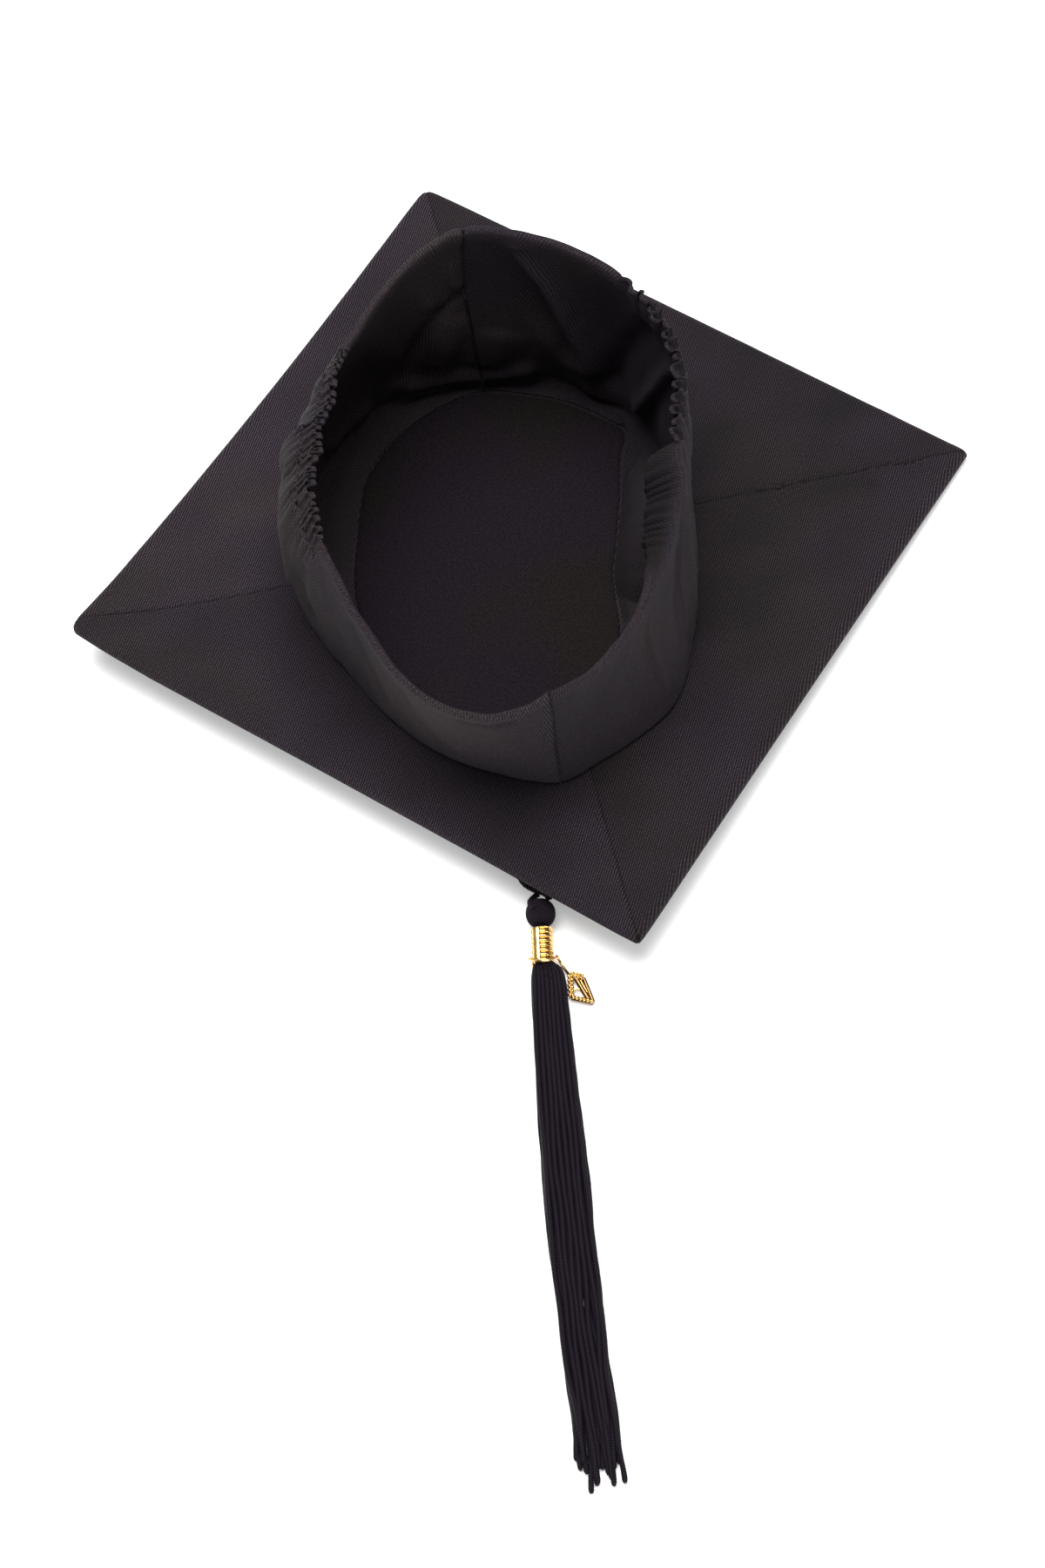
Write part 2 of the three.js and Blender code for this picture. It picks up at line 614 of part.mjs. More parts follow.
// Place of a lock's middle line at a distance along the skirt
function lockPoint(lock, distance) {
  const side = along(SKIRT_STATIONS, 'along', 'side', distance);
  const width = along(SKIRT_STATIONS, 'along', 'width', distance);
  const height = along(SKIRT_STATIONS, 'along', 'height', distance);
  const across = lock.across * (width / 2 - LOCK_RADIUS);
  const droop = THREE.MathUtils.smoothstep(distance, FERRULE_END, FERRULE_END + SKIRT_DROOP);
  const floor = FLOOR_CLEARANCE + LOCK_RADIUS - KNOT_PLACE.z;
  const start = LOCK_RADIUS - height / 2 - FERRULE_DROP;
  const bottom = THREE.MathUtils.lerp(start, floor, droop);
  const wander = 0.5 * Math.sin(distance / 17 + lock.across * 9 + lock.layer * 2) * droop;
  return new THREE.Vector3(
    distance,
    side + across + wander * (1 - Math.abs(lock.across)),
    bottom + lock.layer * (height - 2 * LOCK_RADIUS),
  );
}

// One tapering lock: a closed skin over rings of points across its middle line
function lockGeometry(lock) {
  const start = FERRULE_END + 0.8;
  const rings = [];
  for (let i = 0; i <= LOCK_STEPS; i += 1) {
    const distance = THREE.MathUtils.lerp(start, lock.length, i / LOCK_STEPS);
    const taper = Math.min((lock.length - distance) / LOCK_TIP, 1);
    const radius = LOCK_RADIUS * (0.45 + 0.55 * taper);
    const middle = lockPoint(lock, distance);
    const sink = LOCK_RADIUS - radius;
    rings.push(Array.from({ length: LOCK_SIDES }, (_, j) => {
      const turn = (j + 0.5) / LOCK_SIDES * 2 * Math.PI;
      return new THREE.Vector3(
        middle.x,
        middle.y + radius * Math.cos(turn),
        middle.z + radius * Math.sin(turn) - sink,
      );
    }));
  }
  return lofted(rings);
}

// The head inside the ferrule and just past it, with the locks joined to it
function skirt() {
  const neck = FERRULE_END + GAP;
  const head = [
    [0, FERRULE_START + 2.2],
    [HEAD_CORE_RADIUS, FERRULE_START + 2.2],
    [HEAD_CORE_RADIUS, neck],
    [3.3, neck + 0.2],
    [3.3, neck + 4],
    [2.4, neck + 9],
    [0, neck + 10],
  ];
  const headGeometry = turned(head, 14).rotateY(Math.PI / 2).translate(0, 0, -FERRULE_DROP);
  let solid = asSolid(headGeometry);
  for (const lock of LOCKS) solid = solid.add(asSolid(lockGeometry(lock)));
  return piece('tassel_skirt', asGeometry(solid), 'cord');
}

// The ring's own frame: it stands round the ferrule, with its top leaning along the skirt
function ringFrame() {
  const lean = new THREE.Matrix4().makeRotationY(Math.PI / 2 - radians(RING_LEAN_ANGLE));
  const half = RING_RADIUS * Math.cos(radians(RING_LEAN_ANGLE)) + RING_WIRE;
  return lean.setPosition(RING_PLACE.x, RING_PLACE.y, half + FLOOR_CLEARANCE - KNOT_PLACE.z);
}

function ring() {
  const geometry = new THREE.TorusGeometry(RING_RADIUS, RING_WIRE, 6, 22);
  return piece('charm_ring', geometry.applyMatrix4(ringFrame()), 'gold');
}

// A small link round the ring's wire, soldered to a flat drop with an opening in it
function charm() {
  const turn = radians(LINK_ANGLE);
  const swing = radians(LINK_SWING);
  const outward = new THREE.Vector3(Math.cos(turn), Math.sin(turn), 0);
  const tangent = new THREE.Vector3(-Math.sin(turn), Math.cos(turn), 0);
  const ringAxis = new THREE.Vector3(0, 0, 1);
  const offset = LINK_RADIUS - RING_WIRE - LINK_WIRE - LINK_CLEARANCE;
  const middle = outward.clone().multiplyScalar(RING_RADIUS + offset * Math.cos(swing))
    .addScaledVector(ringAxis, offset * Math.sin(swing));
  const linkFrame = new THREE.Matrix4().makeBasis(outward, ringAxis.clone().negate(), tangent)
    .setPosition(middle).premultiply(ringFrame());
  const link = new THREE.TorusGeometry(LINK_RADIUS, LINK_WIRE, 6, 12).applyMatrix4(linkFrame);

  const corners = (rows) => rows.map((row) => new THREE.Vector2(row.along, row.side));
  const outline = new THREE.Shape(corners(DROP_OUTLINE));
  outline.holes.push(new THREE.Path(corners(DROP_OPENING)));
  const drop = new THREE.ExtrudeGeometry(outline, { depth: DROP_THICKNESS, bevelEnabled: false });
  drop.translate(0, 0, FLOOR_CLEARANCE - KNOT_PLACE.z);
  return piece('charm', asGeometry(asSolid(link).add(asSolid(drop))), 'gold');
}

function hat() {
  const group = new THREE.Group();
  group.add(board());
  EDGES.forEach((_, i) => group.add(panel(i)));
  group.add(lining());
  const { front, back } = SEAM_ANGLES;
  group.add(wall('right', front + SEAM_GAP_ANGLE / 2, back - SEAM_GAP_ANGLE / 2));
  group.add(wall('left', back + SEAM_GAP_ANGLE / 2, front + 360 - SEAM_GAP_ANGLE / 2));
  GATHERS.forEach((gather) => group.add(casing(gather)));
  group.add(button());
  group.quaternion.setFromAxisAngle(LEAN_AXIS, LEAN);
  group.position.z = HAT_HEIGHT;
  return group;
}

function tassel() {
  const group = new THREE.Group();
  group.add(knot(), ferrule(), skirt(), ring(), charm());
  group.position.copy(KNOT_PLACE);
  group.rotation.z = TASSEL_DIRECTION.angle();
  return group;
}

const group = new THREE.Group();
group.add(hat(), tassel());
for (const [side, route] of Object.entries(CORD_ROUTES)) {
  group.add(cord(`tassel_cord_${side}`, route));
}

export default group;
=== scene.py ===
"""A mortarboard lying upside down, with its tassel in front of it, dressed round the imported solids.

Sizes in the tables and classes are millimetres, as in the part's source. Meshes are metres.
"""

import logging
import math
from collections.abc import Callable, Sequence
from dataclasses import dataclass, field
from enum import Enum

import bmesh
import bpy
import numpy as np
from bpy.types import Material, NodeSocket, Object
from mathutils import Matrix, Vector
from numpy import ndarray as Array


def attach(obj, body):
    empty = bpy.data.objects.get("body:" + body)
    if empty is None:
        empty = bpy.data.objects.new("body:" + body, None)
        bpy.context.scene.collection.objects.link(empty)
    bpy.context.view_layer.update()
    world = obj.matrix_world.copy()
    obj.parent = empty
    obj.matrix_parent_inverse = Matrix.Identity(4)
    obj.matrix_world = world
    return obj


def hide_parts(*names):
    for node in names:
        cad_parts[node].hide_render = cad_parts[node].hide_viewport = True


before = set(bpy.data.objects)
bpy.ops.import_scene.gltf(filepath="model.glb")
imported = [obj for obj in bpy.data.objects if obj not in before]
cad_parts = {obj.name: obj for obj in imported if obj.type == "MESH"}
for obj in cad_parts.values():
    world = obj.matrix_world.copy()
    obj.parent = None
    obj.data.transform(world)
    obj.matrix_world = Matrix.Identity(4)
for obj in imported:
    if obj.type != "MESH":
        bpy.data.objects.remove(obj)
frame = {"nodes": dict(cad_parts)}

# A colour, a place or a way, and rows of numbers
Triple = tuple[float, float, float]
Table = tuple[tuple[float, ...], ...]

log = logging.getLogger("mortarboard")
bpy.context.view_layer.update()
MM = 0.001
BODY = "root"
WEAVE_UV = "weave"
# Per vertex: painted light and shade, and wear at the rim and casing tops, which the twill reads
PAINTED_LIGHT_AND_WEAR = "painted_light_and_wear"
TARNISH_AND_DARK_REFLECTION = "tarnish_and_dark_reflection"
# One band of a wave texture, in units of its scale
BAND = 0.314159
FULL_TURN = math.tau
# Direction of the board's twill ribs, in degrees from X towards Y
BOARD_RIBS = 61.0


class Slot(Enum):
    """The record's material slots."""

    BOARD = "board_cloth"
    CAP = "cap_cloth"
    LINING = "lining_cloth"
    THREAD = "tassel_thread"
    METAL = "gold_metal"


class Side(Enum):
    """The two sides of the cap, as the camera sees them."""

    LEFT = "left"
    RIGHT = "right"


class Parts(Enum):
    """What a selection in edit mode picks."""

    VERTS = "VERT"
    EDGES = "EDGE"
    FACES = "FACE"


# Shared ways of working


def smoothstep(low: float, high: float, x: Array) -> Array:
    """Rises smoothly from 0 at low to 1 at high."""
    t = np.clip((x - low) / (high - low), 0.0, 1.0)
    return t * t * (3.0 - 2.0 * t)


def eased(t: Array, start: Array, end: Array, enter: Array, leave: Array) -> Array:
    """A cubic from start to end, for t from 0 to 1.

    Args:
        t: How far along.
        start: The value at 0.
        end: The value at 1.
        enter: The slope at 0.
        leave: The slope at 1.

    Returns:
        The values at t.
    """
    rise = end - start
    return start + t * enter + t * t * (3 * rise - 2 * enter - leave) + t**3 * (enter + leave - 2 * rise)


def curve_through(xs: Sequence[float], ys: Array, x: Array) -> Array:
    """A smooth curve through a table.

    Args:
        xs: Where the table's rows lie, rising.
        ys: The rows' values.
        x: Where the curve is wanted. Past either end the end row holds.

    Returns:
        The curve's values at x.
    """
    xs, ys = np.asarray(xs, float), np.asarray(ys, float)
    slopes = np.gradient(ys, xs, edge_order=1)
    slopes[1:-1] = (ys[2:] - ys[:-2]) / (xs[2:] - xs[:-2])
    x = np.clip(x, xs[0], xs[-1])
    i = np.clip(np.searchsorted(xs, x, side="right") - 1, 0, len(xs) - 2)
    span = xs[i + 1] - xs[i]
    t = (x - xs[i]) / span
    return eased(t, ys[i], ys[i + 1], slopes[i] * span, slopes[i + 1] * span)


def ripples(x: Array, y: Array, size: float, seed: int) -> Array:
    """Soft uneven waves over a surface.

    Args:
        x: First place on the surface, in millimetres.
        y: Second place on the surface, in millimetres.
        size: Typical distance from crest to crest, in millimetres.
        seed: Picks one pattern.

    Returns:
        Heights of about -1 to 1.
    """
    rng = np.random.default_rng(seed)
    total = np.zeros(np.broadcast(x, y).shape)
    for _ in range(9):
        turn, phase = rng.uniform(0, FULL_TURN, 2)
        pace = FULL_TURN / (size * rng.uniform(0.7, 1.6))
        total += np.sin(pace * (x * math.cos(turn) + y * math.sin(turn)) + phase)
    return total / 4.5


def near_line(x: Array, y: Array, line: Sequence[tuple[float, float]]) -> tuple[Array, Array]:
    """Distance to a line of points, and how far along it the nearest place is.

    Args:
        x: First place of each point.
        y: Second place of each point.
        line: The line's points.

    Returns:
        The distances, and the shares of the line's length from 0 to 1.
    """
    points = np.asarray(line, float)
    lengths = np.hypot(*np.diff(points, axis=0).T)
    starts = np.concatenate([[0.0], np.cumsum(lengths)])
    best = np.full(x.shape, np.inf)
    place = np.zeros(x.shape)
    for i, length in enumerate(lengths):
        step = (points[i + 1] - points[i]) / max(length, 1e-9)
        t = np.clip((x - points[i, 0]) * step[0] + (y - points[i, 1]) * step[1], 0, length)
        away = np.hypot(x - points[i, 0] - t * step[0], y - points[i, 1] - t * step[1])
        closer = away < best
        best = np.where(closer, away, best)
        place = np.where(closer, (starts[i] + t) / starts[-1], place)
    return best, place


def put_down() -> None:
    """Leaves edit mode and deselects everything."""
    if bpy.context.object and bpy.context.object.mode != "OBJECT":
        bpy.ops.object.mode_set(mode="OBJECT")
    bpy.ops.object.select_all(action="DESELECT")


def pick_up(obj: Object, *others: Object) -> None:
    """Selects a piece, and others with it, and makes it the active one.

    Args:
        obj: The piece.
        *others: What is selected with it.
    """
    put_down()
    for each in (obj, *others):
        each.select_set(True)
    bpy.context.view_layer.objects.active = obj


def open_up(obj: Object) -> None:
    """Takes a piece into edit mode with nothing selected.

    Args:
        obj: The piece.
    """
    pick_up(obj)
    bpy.ops.object.mode_set(mode="EDIT")
    bpy.ops.mesh.select_all(action="DESELECT")


def select_where(obj: Object, parts: Parts, test: Callable[[object], bool]) -> None:
    """Selects in edit mode what passes a test, and nothing else.

    Args:
        obj: The piece in edit mode.
        parts: Vertices, edges or faces.
        test: Takes one bmesh element and says whether it is wanted.
    """
    bpy.ops.mesh.select_mode(type=parts.value)
    bpy.ops.mesh.select_all(action="DESELECT")
    mesh = bmesh.from_edit_mesh(obj.data)
    for part in {Parts.VERTS: mesh.verts, Parts.EDGES: mesh.edges, Parts.FACES: mesh.faces}[parts]:
        if test(part):
            part.select_set(True)
    mesh.select_flush_mode()
    bmesh.update_edit_mesh(obj.data)


def middle(edge: bmesh.types.BMEdge) -> Vector:
    """The middle of an edge."""
    return (edge.verts[0].co + edge.verts[1].co) / 2


def along_axis(edge: bmesh.types.BMEdge, axis: int) -> bool:
    """True where an edge runs along one axis only."""
    way = edge.verts[1].co - edge.verts[0].co
    return abs(way[axis]) > 0.98 * way.length


def coordinates(obj: Object) -> Array:
    """The piece's vertices.

    Args:
        obj: The piece.

    Returns:
        One row per vertex, in metres.
    """
    co = np.zeros(len(obj.data.vertices) * 3)
    obj.data.vertices.foreach_get("co", co)
    return co.reshape(-1, 3)


def set_coordinates(obj: Object, points: Array) -> None:
    """Moves the piece's vertices to these rows of metres."""
    obj.data.vertices.foreach_set("co", np.ascontiguousarray(points, float).ravel())
    obj.data.update()


def settle(obj: Object, place: Matrix | None = None) -> None:
    """Puts a piece's turn, size and place into its mesh.

    Args:
        obj: The piece.
        place: A frame that the mesh is then moved by.
    """
    put_down()
    obj.data.transform(obj.matrix_world if place is None else place @ obj.matrix_world)
    obj.matrix_world = Matrix.Identity(4)
    obj.data.update()


def finish_modifiers(obj: Object) -> None:
    """Applies every modifier of a piece.

    Args:
        obj: The piece.
    """
    pick_up(obj)
    for modifier in list(obj.modifiers):
        bpy.ops.object.modifier_apply(modifier=modifier.name)
    put_down()


def thicken(obj: Object, thickness: float, offset: float = -1.0) -> None:
    """Gives a sheet its thickness.

    Args:
        obj: The sheet.
        thickness: How thick, in millimetres.
        offset: Where the sheet lies in it: -1 at the outer face, 0 in the middle.
    """
    modifier = obj.modifiers.new("thickness", "SOLIDIFY")
    modifier.thickness, modifier.offset = thickness * MM, offset
    finish_modifiers(obj)


def mark(mesh: bpy.types.Mesh, name: str, values: Sequence[float]) -> None:
    """Stores one number per vertex, for a finish to read."""
    mesh.attributes.new(name, "FLOAT", "POINT").data.foreach_set("value", values)


def face_outwards(obj: Object) -> None:
    """Merges doubles and turns all faces of a closed piece outwards.

    Args:
        obj: The piece.
    """
    open_up(obj)
    bpy.ops.mesh.select_all(action="SELECT")
    bpy.ops.mesh.remove_doubles(threshold=1e-6)
    bpy.ops.mesh.normals_make_consistent(inside=False)
    put_down()


def smooth(obj: Object, angle: float = 50.0) -> None:
    """Shades a piece smooth, apart from its sharp edges.

    Args:
        obj: The piece.
        angle: The angle in degrees from which an edge is sharp.
    """
    pick_up(obj)
    bpy.ops.object.shade_smooth_by_angle(angle=math.radians(angle))
    put_down()


def join(pieces: Sequence[Object], name: str) -> Object:
    """Joins pieces into one and names it.

    Args:
        pieces: The pieces, of which the first stays.
        name: The name of the whole.

    Returns:
        The whole.
    """
    pick_up(pieces[0], *pieces[1:])
    bpy.ops.object.join()
    pieces[0].name = pieces[0].data.name = name
    put_down()
    return pieces[0]


def newest(name: str) -> Object:
    """Names the primitive that was just added.

    Args:
        name: Its name.

    Returns:
        The primitive.
    """
    obj = bpy.context.object
    obj.name = obj.data.name = name
    return obj


class Skin:
    """Grids of points that are joined into one mesh, each with its own cloth coordinates."""

    def __init__(self) -> None:
        """Starts with no grids."""
        self.points: list[Array] = []
        self.faces: list[list[int]] = []
        self.cloth: list[Array] = []
        self.painted_light_and_wear: list[Array] = []
        self.count = 0

    def add(self, points: Array, cloth: Array, tube: bool = False, painted_light_and_wear: Array | float = 0.0) -> None:
        """Adds one grid.

        Args:
            points: Rows and columns of points, in metres.
            cloth: Rows and columns of cloth coordinates, in metres. For a tube it has one
                more column than points has, for the far side of the join.
            tube: Whether the columns close into a ring, with the two ends capped.
            painted_light_and_wear: Painted light and shade at each point, with wear at the rim: from -1
            for painted shade to 1 for a painted highlight.
        """
        rows, columns = points.shape[:2]
        r, c = np.meshgrid(np.arange(rows - 1), np.arange(columns if tube else columns - 1), indexing="ij")
        r, c = r.ravel(), c.ravel()
        here, below, after = r * columns, (r + 1) * columns, (c + 1) % columns
        corners = np.stack([here + c, here + after, below + after, below + c], 1)
        self.faces += (corners + self.count).tolist()
        places = [cloth[r, c], cloth[r, c + 1], cloth[r + 1, c + 1], cloth[r + 1, c]]
        self.cloth.append(np.stack(places, 1).reshape(-1, 2))
        if tube:
            ring = np.arange(columns)
            self.faces.append((ring[::-1] + self.count).tolist())
            self.cloth.append(cloth[0, ring[::-1]])
            self.faces.append((ring + (rows - 1) * columns + self.count).tolist())
            self.cloth.append(cloth[-1, ring])
        self.points.append(points.reshape(-1, 3))
        self.painted_light_and_wear.append(np.broadcast_to(painted_light_and_wear, (rows, columns)).ravel())
        self.count += rows * columns

    def build(self, name: str) -> Object:
        """Makes the mesh and links it.

        Args:
            name: The new piece's name.

        Returns:
            The new piece.
        """
        mesh = bpy.data.meshes.new(name)
        mesh.from_pydata(np.concatenate(self.points).tolist(), [], self.faces)
        layer = mesh.uv_layers.new(name=WEAVE_UV)
        layer.data.foreach_set("uv", np.concatenate(self.cloth).ravel())
        pale = np.concatenate(self.painted_light_and_wear).astype(float)
        if pale.any():
            mark(mesh, PAINTED_LIGHT_AND_WEAR, pale)
        obj = bpy.data.objects.new(name, mesh)
        bpy.context.scene.collection.objects.link(obj)
        return obj


def strip_turned(u: Array, v: Array, ribs: float) -> Array:
    """Cloth coordinates whose first runs across the ribs and whose second runs along them.

    Args:
        u: First place on the cloth, in metres.
        v: Second place on the cloth, in metres.
        ribs: Direction of the ribs in degrees from u towards v.

    Returns:
        The coordinates, in the last axis.
    """
    turn = math.radians(ribs)
    return np.stack([u * math.sin(turn) - v * math.cos(turn), u * math.cos(turn) + v * math.sin(turn)], -1)


def set_weave(obj: Object, ribs: float) -> None:
    """Lays the cloth's coordinates over a piece from its own places, seen from above.

    Args:
        obj: The piece, still in the hat's frame, in metres.
        ribs: Direction of the ribs in degrees from X towards Y.
    """
    mesh = obj.data
    layer = mesh.uv_layers.get(WEAVE_UV) or mesh.uv_layers.new(name=WEAVE_UV)
    index = np.zeros(len(mesh.loops), int)
    mesh.loops.foreach_get("vertex_index", index)
    co = coordinates(obj)[index]
    layer.data.foreach_set("uv", strip_turned(co[:, 0], co[:, 1] + co[:, 2], ribs).ravel())
    for other in [each for each in mesh.uv_layers if each.name != WEAVE_UV]:
        mesh.uv_layers.remove(other)


def run_along(points: Array) -> Array:
    """How far along a line each of its points lies, from 0."""
    return np.concatenate([[0.0], np.cumsum(np.linalg.norm(np.diff(points, axis=0), axis=1))])


def evened(points: Array, step: float) -> Array:
    """A line of points again, with even steps.

    Args:
        points: The line.
        step: About how far apart the new points are.

    Returns:
        The new points, with both ends kept.
    """
    run = run_along(points)
    places = np.linspace(0, run[-1], max(2, round(run[-1] / step) + 1))
    return np.stack([np.interp(places, run, points[:, k]) for k in range(3)], 1)


def rounded_route(route: Sequence[Triple], step: float) -> Array:
    """One smooth line through given points.

    Args:
        route: The points.
        step: About how far apart the line's points are.

    Returns:
        The line's points, in even steps.
    """
    knots = np.asarray(route, float)
    run = run_along(knots)
    fine = np.linspace(0, run[-1], len(knots) * 24)
    return evened(np.stack([curve_through(run, knots[:, k], fine) for k in range(3)], 1), step)


def cross_axes(line: Array) -> tuple[Array, Array]:
    """Two directions across a line at each of its points, turning as little as they can.

    Args:
        line: The line's points.

    Returns:
        The first and the second direction, one row per point.
    """
    ways = np.gradient(line, axis=0)
    ways /= np.linalg.norm(ways, axis=1)[:, None]
    first = np.cross(ways[0], (0.0, 0.0, 1.0) if abs(ways[0, 2]) < 0.9 else (1.0, 0.0, 0.0))
    firsts = []
    for way in ways:
        first = first - way * (first @ way)
        first = first / np.linalg.norm(first)
        firsts.append(first)
    return np.array(firsts), np.cross(ways, np.array(firsts))


def add_tube(skin: Skin, line: Array, radius: Array | float, sides: int, slant: float = 0.0) -> None:
    """Adds a tube along a line of points to a skin.

    Args:
        skin: What the tube is added to.
        line: The tube's middle line, in metres.
        radius: Its radius, one number or one per point, in metres.
        sides: How many sides it has.
        slant: How far each ring is tipped along the tube, in metres.
    """
    first, second = cross_axes(line)
    turns = np.arange(sides) / sides * FULL_TURN
    spread = np.broadcast_to(np.asarray(radius, float), (len(line),))
    cosines, sines = np.cos(turns)[None, :, None], np.sin(turns)[None, :, None]
    rings = line[:, None] + spread[:, None, None] * (cosines * first[:, None] + sines * second[:, None])
    if slant:
        ways = np.cross(first, second)
        rings = rings + slant * sines * ways[:, None]
    run = run_along(line)
    girth = FULL_TURN * float(spread.mean())
    u = np.linspace(0, girth, sides + 1)
    skin.add(rings, np.stack(np.meshgrid(u, run), -1), tube=True)


def hand_over(obj: Object, nodes: Sequence[str], material: Material) -> Object:
    """Gives a finished piece its material and its place in the frame.

    Args:
        obj: The finished piece.
        nodes: The CAD nodes that it stands for.
        material: Its finish.

    Returns:
        The piece.
    """
    obj.data.materials.clear()
    obj.data.materials.append(material)
    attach(obj, BODY)
    if nodes:
        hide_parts(*nodes)
    log.info("%s: %d faces", obj.name, len(obj.data.polygons))
    return obj


# Finishes


class Nodes:
    """A material's node tree, filled one node at a time."""

    def __init__(self, name: str) -> None:
        """Makes an empty material with a Principled shader.

        Args:
            name: The material's name.
        """
        self.material = bpy.data.materials.new(name)
        self.material.use_nodes = True
        self.tree = self.material.node_tree
        self.tree.nodes.clear()
        self.shader = self.add("ShaderNodeBsdfPrincipled")
        output = self.add("ShaderNodeOutputMaterial")
        self.tree.links.new(self.shader.outputs["BSDF"], output.inputs["Surface"])

    def add(self, kind: str, values: dict[str, object] | None = None, **links: object) -> bpy.types.Node:
        """Adds a node.

        Args:
            kind: The node's type.
            values: Values of its sockets by name, and its own settings after a dot.
            **links: Outputs to link, by the socket's name with spaces as underscores.

        Returns:
            The node.
        """
        node = self.tree.nodes.new(kind)
        for key, value in (values or {}).items():
            if key.startswith("."):
                setattr(node, key[1:], value)
            else:
                node.inputs[key].default_value = value
        for key, output in links.items():
            self.link(output, node.inputs[key.replace("_", " ")])
        return node

    def link(self, output: NodeSocket, target: NodeSocket) -> None:
        """Links one socket to another."""
        self.tree.links.new(output, target)

    def cloth(self) -> NodeSocket:
        """The piece's own cloth coordinates."""
        return self.add("ShaderNodeUVMap", {".uv_map": WEAVE_UV}).outputs["UV"]

    def place(self) -> NodeSocket:
        """Object coordinates."""
        return self.add("ShaderNodeTexCoord").outputs["Object"]

    def noise(
        self, vector: NodeSocket, scale: float, detail: float = 2.0, rough: float = 0.5
    ) -> NodeSocket:
        """A noise pattern.

        Args:
            vector: The coordinates that it reads.
            scale: Its scale.
            detail: Its detail.
            rough: Its roughness.

        Returns:
            Its Fac output.
        """
        node = self.add(
            "ShaderNodeTexNoise", {"Scale": scale, "Detail": detail, "Roughness": rough}, Vector=vector
        )
        return node.outputs["Fac"]

    def math(self, operation: str, first: object, second: object = 0.0) -> NodeSocket:
        """A Math node of two values or outputs.

        Args:
            operation: The operation's name.
            first: A number or an output.
            second: A number or an output.

        Returns:
            The result.
        """
        node = self.add("ShaderNodeMath", {".operation": operation})
        for socket, value in zip(node.inputs, (first, second)):
            if isinstance(value, (int, float)):
                socket.default_value = value
            else:
                self.link(value, socket)
        return node.outputs[0]

    def spread(
        self, value: NodeSocket, low: float, high: float, to_low: float, to_high: float
    ) -> NodeSocket:
        """Maps a value from one range to another, held at its ends.

        Args:
            value: The output that is mapped.
            low: Start of its range.
            high: End of its range.
            to_low: What low becomes.
            to_high: What high becomes.

        Returns:
            The mapped value.
        """
        node = self.add(
            "ShaderNodeMapRange", {"From Min": low, "From Max": high, "To Min": to_low, "To Max": to_high}
        )
        self.link(value, node.inputs["Value"])
        return node.outputs["Result"]

    def blend(self, share: NodeSocket, first: object, second: object) -> NodeSocket:
        """Mixes two colours.

        Args:
            share: How much of the second.
            first: A colour or an output.
            second: A colour or an output.

        Returns:
            The mixed colour.
        """
        node = self.add("ShaderNodeMix", {".data_type": "RGBA"})
        self.link(share, node.inputs[0])
        for socket, value in ((node.inputs[6], first), (node.inputs[7], second)):
            if isinstance(value, tuple):
                socket.default_value = (*value, 1.0)
            else:
                self.link(value, socket)
        return node.outputs[2]

    def wave(self, vector: NodeSocket, pitch: float, uneven: Triple) -> NodeSocket:
        """Bands one after the other along the coordinates' first direction.

        Args:
            vector: The coordinates that it reads.
            pitch: From one band to the next, in millimetres.
            uneven: Distortion, detail and the detail's scale.

        Returns:
            Its Fac output.
        """
        node = self.add("ShaderNodeTexWave", {
            ".wave_type": "BANDS", ".bands_direction": "X", ".wave_profile": "SIN",
            "Scale": BAND / (pitch * MM),
            "Distortion": uneven[0], "Detail": uneven[1], "Detail Scale": uneven[2],
        }, Vector=vector)
        return node.outputs["Fac"]

    def turned(self, vector: NodeSocket, angle: float) -> NodeSocket:
        """Coordinates turned about Z by an angle in degrees."""
        return self.add(
            "ShaderNodeMapping", {"Rotation": (0.0, 0.0, math.radians(angle))}, Vector=vector
        ).outputs[0]

    def bump(self, height: NodeSocket, depth: float) -> None:
        """Gives the shader a relief.

        Args:
            height: The relief's height from 0 to 1.
            depth: What 1 stands for, in millimetres.
        """
        node = self.add("ShaderNodeBump", {"Distance": depth * MM, "Strength": 1.0}, Height=height)
        self.link(node.outputs["Normal"], self.shader.inputs["Normal"])

    def dress(self, colour: NodeSocket, values: dict[str, object]) -> Material:
        """Links the colour and sets the shader's own values.

        Args:
            colour: The colour's output.
            values: The shader's sockets by name.

        Returns:
            The material.
        """
        self.link(colour, self.shader.inputs["Base Color"])
        for key, value in values.items():
            self.shader.inputs[key].default_value = value
        return self.material


